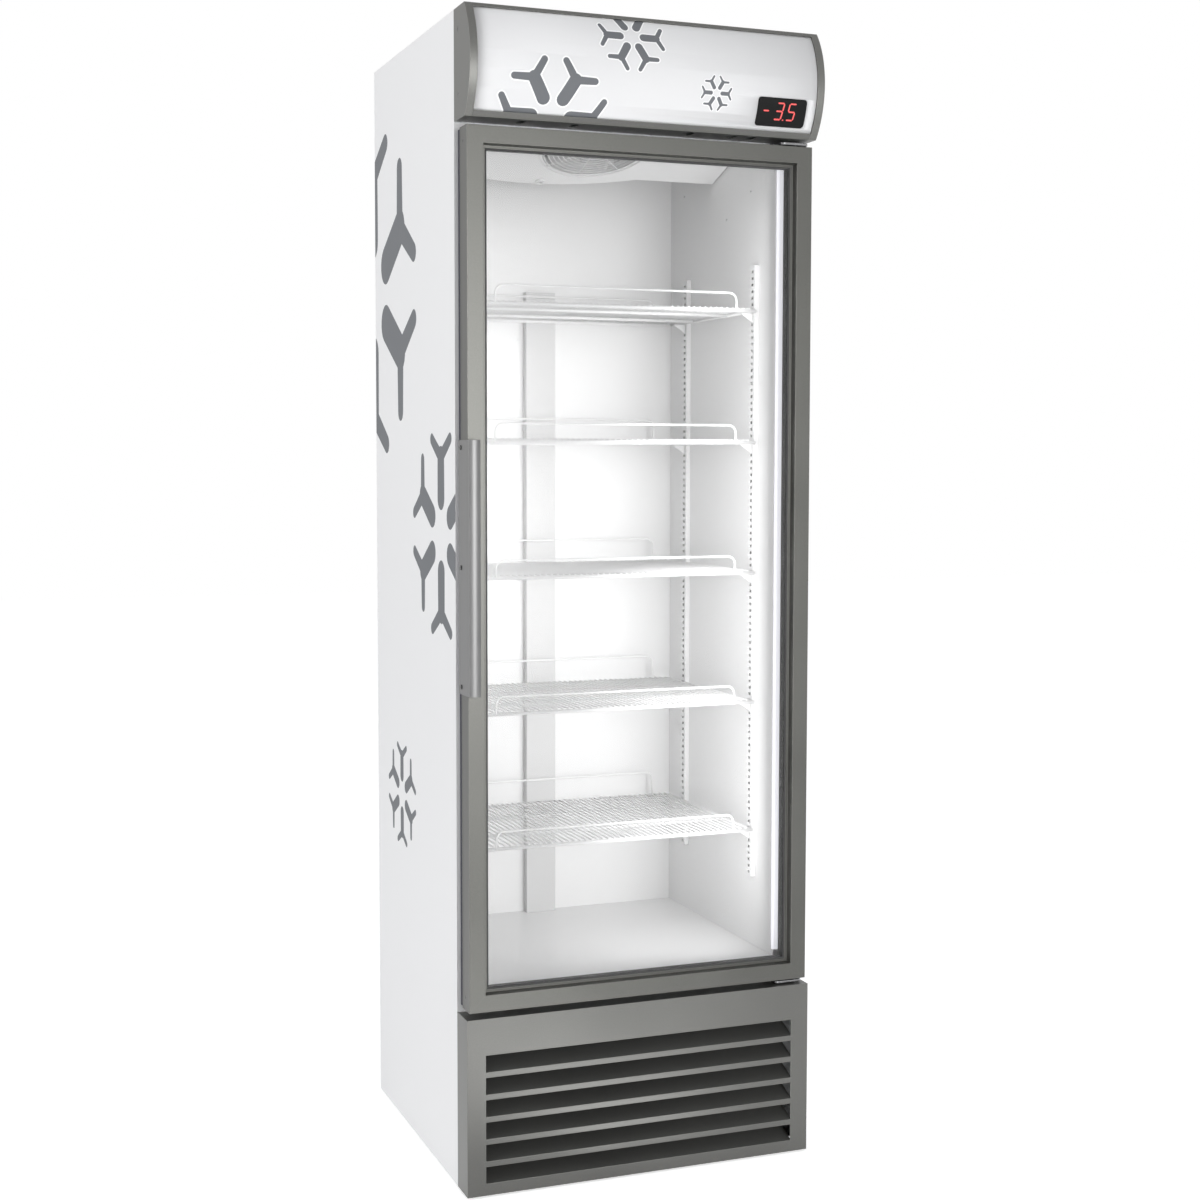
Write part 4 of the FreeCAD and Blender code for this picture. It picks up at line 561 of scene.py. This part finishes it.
def fan_guard():
    """Concentric round wires and spokes under the evaporator fan, with a solid hub."""
    lo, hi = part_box("fan_guard")
    centre = (lo + hi) / 2
    axis = Vector((0, math.sin(GUARD_SLOPE), math.cos(GUARD_SLOPE)))
    back = Vector((0, math.cos(GUARD_SLOPE), -math.sin(GUARD_SLOPE)))
    wire = circle(GUARD_WIRE_R, 8)
    bm = bmesh.new()

    def around(sides, radius, height=0.0):
        return [centre + (X_WAY * math.cos(t) + back * math.sin(t)) * radius + axis * height
                for t in turns(sides)]

    step = (GUARD_R - GUARD_HUB_R) / GUARD_RINGS
    for k in range(GUARD_RINGS + 1):
        sweep(bm, around(GUARD_SIDES, GUARD_R - step * k), wire, axis, True)
    spoke_starts = around(GUARD_SPOKES, GUARD_HUB_R - 2 * MM, GUARD_HALF)
    spoke_ends = around(GUARD_SPOKES, GUARD_R, GUARD_HALF)
    for ends in zip(spoke_starts, spoke_ends):
        sweep(bm, ends, wire, axis)
    rims = [[bm.verts.new(point) for point in around(HUB_SIDES, GUARD_HUB_R - 1 * MM, height)]
            for height in (-GUARD_HALF, GUARD_HALF)]
    for rim in rims:
        bm.faces.new(rim)
    bridge(bm, rims, smooth=False)
    piece("fan_guard_wires", bm, [FINISHES["white_wire"]], "cabinet", ["fan_guard"])


fan_guard()


# ---------------------------------------------------------------- screws

def islands(name):
    """The separate solids of a CAD node, each as its list of points."""
    bm = bmesh.new()
    bm.from_mesh(nodes[name].data)
    bmesh.ops.remove_doubles(bm, verts=bm.verts, dist=1e-5)
    bm.verts.ensure_lookup_table()
    seen = [False] * len(bm.verts)
    groups = []
    for start in range(len(bm.verts)):
        if seen[start]:
            continue
        seen[start] = True
        waiting, group = [bm.verts[start]], []
        while waiting:
            v = waiting.pop()
            group.append(v.co.copy())
            for e in v.link_edges:
                other = e.other_vert(v)
                if not seen[other.index]:
                    seen[other.index] = True
                    waiting.append(other)
        groups.append(group)
    bm.free()
    return groups


SHANK_REACH = 3 * MM
# radius and height in mm of each ring of a screw, from the flat of its head to the end of its shank
SCREW_RINGS = [(2.8, 0.0), (3.5, -0.3), (3.95, -0.9), (3.95, -1.75), (2.0, -1.75), (2.0, -12.6)]
SCREW_SIDES = 28
CROSS_REACH, CROSS_HALF, CROSS_DEPTH, CROSS_TURN = 2.1 * MM, 0.45 * MM, 1.1 * MM, 0.4


def cross():
    """Outline of a screw's cross recess."""
    corners = [(CROSS_HALF, CROSS_HALF), (CROSS_HALF, CROSS_REACH), (-CROSS_HALF, CROSS_REACH)]
    outline = []
    for k in range(4):
        turn = Matrix.Rotation(math.pi / 2 * k + CROSS_TURN, 2)
        outline += [turn @ Vector(c) for c in corners]
    return outline


def screw(bm, points):
    """Pan-head screw with a cross recess, in the place of a CAD screw."""
    low = Vector([min(p[i] for p in points) for i in range(3)])
    high = Vector([max(p[i] for p in points) for i in range(3)])
    size = high - low
    k = max(range(3), key=lambda i: size[i])
    middle = (low + high) / 2

    def off_axis(point):
        away = point - middle
        away[k] = 0
        return away.length

    wide = [p[k] for p in points if off_axis(p) > SHANK_REACH]
    out = Vector([float(i == k) for i in range(3)])
    if sum(wide) / len(wide) < middle[k]:
        out = -out
    face = middle.copy()
    face[k] = high[k] if out[k] > 0 else low[k]
    side = out.orthogonal().normalized()
    other = out.cross(side)

    def at(u, v, h):
        return face + side * u + other * v + out * h

    rings = [[bm.verts.new(at(u, v, height * MM)) for u, v in circle(radius * MM, SCREW_SIDES)]
             for radius, height in SCREW_RINGS]
    # the head's chamfer, side and underside and the shank take the black material: a painted shadow ring
    # round each head
    for n, quad in enumerate(bridge(bm, rings)):
        quad.material_index = int(n >= SCREW_SIDES)
    bm.faces.new(rings[-1])
    rim = circle(SCREW_RINGS[0][0] * MM, SCREW_SIDES)
    verts, regions = flat_regions([rim, cross()])
    land, floor = {}, {}
    # the floor and walls of the cross recess take the black material: painted shade in the recess
    for t, owners in regions:
        deep = 1 in owners
        store, height = (floor, -CROSS_DEPTH) if deep else (land, 0.0)
        for n in t:
            if n not in store:
                store[n] = bm.verts.new(at(*verts[n], height))
        bm.faces.new([store[n] for n in t]).material_index = int(deep)
    for a, b in border([t for t, owners in regions if 1 in owners]):
        bm.faces.new((land[a], land[b], floor[b], floor[a])).material_index = 1


def screws(name, body):
    """All the screws of a CAD node. The black in their cross recesses and round the sides of their heads is
    painted shade, and their shanks are black as well.
    """
    bm = bmesh.new()
    for points in islands(name):
        screw(bm, points)
    bmesh.ops.remove_doubles(bm, verts=bm.verts, dist=1e-6)
    piece(name + "_heads", bm, [FINISHES["steel"], FINISHES["black_plastic"]], body, [name])


screws("cabinet_screws", "cabinet")
screws("door_screws", "door")


# ---------------------------------------------------------------- glazing bead and wall plugs

BEAD_INSET, BEAD_CLEAR, BEAD_WIDE, BEAD_HIGH = 36.2 * MM, 0.05 * MM, 1.9 * MM, 2.3 * MM
SEAL_PAST, SEAL_WIDE = 5.5 * MM, 16 * MM
# the seal's ribs: how far each point stands in from its edge in mm, and its share of the depth
SEAL_RIBS = [(0, 0), (0, 0.3), (2, 0.38), (2, 0.46), (0, 0.54), (0, 0.72), (3, 0.8), (3, 1)]
PLUG_R, PLUG_RISE, PLUG_SIDES = 1.6 * MM, 0.8 * MM, 20
LAMP_GAP = 0.3 * MM
# radius and height of a plug's rings, as shares
PLUG_RINGS = [(1.0, 0.0), (0.98, 0.5), (0.8, 0.85), (0.4, 1.0)]
# places in mm: across and up on the drain duct, along and up on the liner's right wall
DUCT_PLUGS = [(-48.4, 1485), (-48.4, 1012)]
WALL_PLUGS = [(195.7, 1770.5), (-108.7, 1740.5), (-3.9, 1701.6), (195.7, 1598.8)]


def frame_path(left, right, low, high, y):
    """The four corners of an upright rectangle."""
    return [Vector((x, y, z)) for x, z in ((left, low), (right, low), (right, high), (left, high))]


def glazing_bead():
    """Rubber bead that closes the gap between the door's lip and the outer pane."""
    lo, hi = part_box("door_frame")
    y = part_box("glass_outer")[0].y - BEAD_CLEAR
    corners = frame_path(lo.x + BEAD_INSET, hi.x - BEAD_INSET, lo.z + BEAD_INSET, hi.z - BEAD_INSET, y)
    profile = [(BEAD_WIDE * math.cos(t), BEAD_HIGH * math.sin(t)) for t in turns(16)[:9]]
    bm = bmesh.new()
    sweep(bm, corners, profile, FRONT_WAY, True)
    # the bead's black is partly a rubber bead's own colour and partly painted shade standing for the
    # rebate's shadow at the edge of the glass
    piece("glazing_bead", bm, [FINISHES["black_plastic"]], "door")


def gasket_bellows():
    """Ribbed door seal, which reaches nearer to the door's edge than its CAD block except at the hinges."""
    lo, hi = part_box("door_gasket")
    deep = hi.y - lo.y
    corners = frame_path(lo.x - SEAL_PAST, hi.x, lo.z - SEAL_PAST, hi.z + SEAL_PAST, hi.y)
    outer = [(-inset * MM, part * deep) for inset, part in SEAL_RIBS]
    inner = [(inset * MM - SEAL_WIDE, part * deep) for inset, part in reversed(SEAL_RIBS)]
    bm = bmesh.new()
    sweep(bm, corners, outer + inner, FRONT_WAY, True)
    rubber = [FINISHES["gasket_rubber"]]
    made = piece("gasket_bellows", bm, rubber, "door", ["door_gasket"])
    for face in made.data.polygons:
        face.use_smooth = False


def plug(bm, centre, out):
    """A shallow round cap."""
    side = out.orthogonal().normalized()
    other = out.cross(side)
    rings = [[bm.verts.new(centre + side * u + other * v + out * height * PLUG_RISE)
              for u, v in circle(radius * PLUG_R, PLUG_SIDES)] for radius, height in PLUG_RINGS]
    bridge(bm, rings)
    bm.faces.new(rings[0])
    bm.faces.new(rings[-1])


def wall_plugs():
    """Plastic plugs in spare holes of the liner."""
    bm = bmesh.new()
    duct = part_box("drain_duct")[1].y
    for x, z in DUCT_PLUGS:
        plug(bm, Vector((x * MM, duct, z * MM)), FRONT_WAY)
    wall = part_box("interior_lamp")[0].x - LAMP_GAP
    for y, z in WALL_PLUGS:
        plug(bm, Vector((wall, y * MM, z * MM)), -X_WAY)
    piece("wall_plugs", bm, [PLUG_GREY], "cabinet")


glazing_bead()
gasket_bellows()
wall_plugs()


# ---------------------------------------------------------------- floor, light and camera

def path_amount(s, amount):
    """1 for rays that see the background itself: from the camera, in gloss and through glass."""
    rays = s.node("ShaderNodeLightPath").outputs
    total = s.math("ADD", rays["Is Camera Ray"], rays["Is Glossy Ray"])
    total = s.math("ADD", total, rays["Is Transmission Ray"], clamp=True)
    return s.math("MULTIPLY", total, amount)


FLOOR_HALF = 14
FLOOR_GLOW = 0.58


def floor():
    """Plain pale floor, which is as white as the background where the camera sees it."""
    bm = bmesh.new()
    bmesh.ops.create_grid(bm, x_segments=4, y_segments=4, size=FLOOR_HALF)
    mesh = bpy.data.meshes.new("floor")
    bm.to_mesh(mesh)
    bm.free()
    made = bpy.data.objects.new("floor", mesh)
    scene.collection.objects.link(made)
    s = Shader.material("floor_pale")
    tone = s.ramp(s.noise(s.place, 0.6), (0.86, 0.86, 0.86), (0.9, 0.9, 0.9))
    matt = s.node("ShaderNodeBsdfDiffuse", {"Color": tone}).outputs[0]
    glow = s.node("ShaderNodeEmission", {"Color": (1, 1, 1, 1), "Strength": path_amount(s, FLOOR_GLOW)})
    mesh.materials.append(s.end(s.node("ShaderNodeAddShader", {0: matt, 1: glow.outputs[0]}).outputs[0]))


def world():
    """Soft light from all round, in front of a white background."""
    made = bpy.data.worlds.new("studio")
    scene.world = made
    s = Shader(made)
    soft = s.node("ShaderNodeBackground", {"Color": (0.97, 0.98, 1.0, 1), "Strength": 0.5}).outputs[0]
    white = s.node("ShaderNodeBackground", {"Color": (1, 1, 1, 1), "Strength": 1.0}).outputs[0]
    mixed = s.node("ShaderNodeMixShader", {0: path_amount(s, 1.0), 1: soft, 2: white}).outputs[0]
    s.node("ShaderNodeOutputWorld", {"Surface": mixed})


# where a softbox's fade starts and ends, in shares of its size from the middle, and what makes up for it
FADE_START, FADE_END, FADE_GAIN = 0.05, 0.5, 2.6


def soft_edges(made):
    """Lets an area lamp fade towards its edges, as a diffused softbox does."""
    s = Shader(made.data)
    place = s.node("ShaderNodeNewGeometry").outputs["Parametric"]
    across = s.node("ShaderNodeSeparateXYZ", {0: place}).outputs
    fades = []
    for socket in (across[0], across[1]):
        from_middle = s.math("ABSOLUTE", s.math("SUBTRACT", socket, 0.5))
        limits = {0: from_middle, 1: FADE_END, 2: FADE_START, 3: 0.0, 4: 1.0}
        fades.append(s.node("ShaderNodeMapRange", limits, interpolation_type="SMOOTHSTEP").outputs[0])
    strength = s.math("MULTIPLY", s.math("MULTIPLY", fades[0], fades[1]), FADE_GAIN)
    glow = s.node("ShaderNodeEmission", {"Strength": strength}).outputs[0]
    s.node("ShaderNodeOutputLight", {"Surface": glow})


def lamp(name, place, towards, size, power, hidden=False, spread=180):
    """A rectangular lamp. A hidden one isn't mirrored in gloss."""
    data = bpy.data.lights.new(name, "AREA")
    data.shape = "RECTANGLE"
    data.size, data.size_y = size
    data.energy = power
    data.spread = math.radians(spread)
    made = bpy.data.objects.new(name, data)
    made.location = place
    made.rotation_euler = (Vector(towards) - Vector(place)).to_track_quat("-Z", "Y").to_euler()
    made.visible_camera = False
    made.visible_glossy = not hidden
    scene.collection.objects.link(made)
    return made


floor()
world()
# softboxes in front and at the left, and a bounce on the floor that lights the grille from below
soft_edges(lamp("front_softbox", (0.6, -4.4, 1.25), (0.1, -0.2, 1.1), (2.2, 3.0), 108))
lamp("left_softbox", (-4.2, -0.9, 1.8), (-0.3, 0, 1.0), (1.6, 2.4), 72)
bounce = lamp("floor_bounce", (-0.14, -1.2, 0.012), (-0.14, -1.2, 1.0), (0.34, 1.6), 5.8)
bounce.rotation_euler = (math.pi, 0, math.radians(-17.4))
# two lamps inside the door do the work of the cabinet's own lamp
lamp_lo, lamp_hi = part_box("interior_lamp")
middle = (lamp_lo.z + lamp_hi.z) / 2
strip = (lamp_lo.x - 0.075, lamp_lo.y - 0.007, middle + 0.01)
lamp("inside_strip", strip, (0.06, 0.26, strip[2]), (0.05, 1.31), 1.15, True, 165)
level = middle - 0.16
lamp("inside_fill", (0.08, lamp_lo.y, level), (0.08, 0.26, level), (0.14, 0.92), 0.86, True, 165)

# the viewpoint is fitted to the edges of the cabinet, the door and the grille in the photograph
camera = bpy.data.objects.new("camera", bpy.data.cameras.new("camera"))
camera.location = (-1.2086, -3.2150, 1.2479)
camera.rotation_euler = [math.radians(a) for a in (86.2196, -0.0865, -21.0488)]
camera.data.sensor_width = 36
camera.data.lens = 55.645
camera.data.shift_x = -0.0017
camera.data.shift_y = -0.0136
camera.data.clip_start = 0.05
scene.collection.objects.link(camera)
scene.camera = camera
scene.view_settings.view_transform = "Standard"
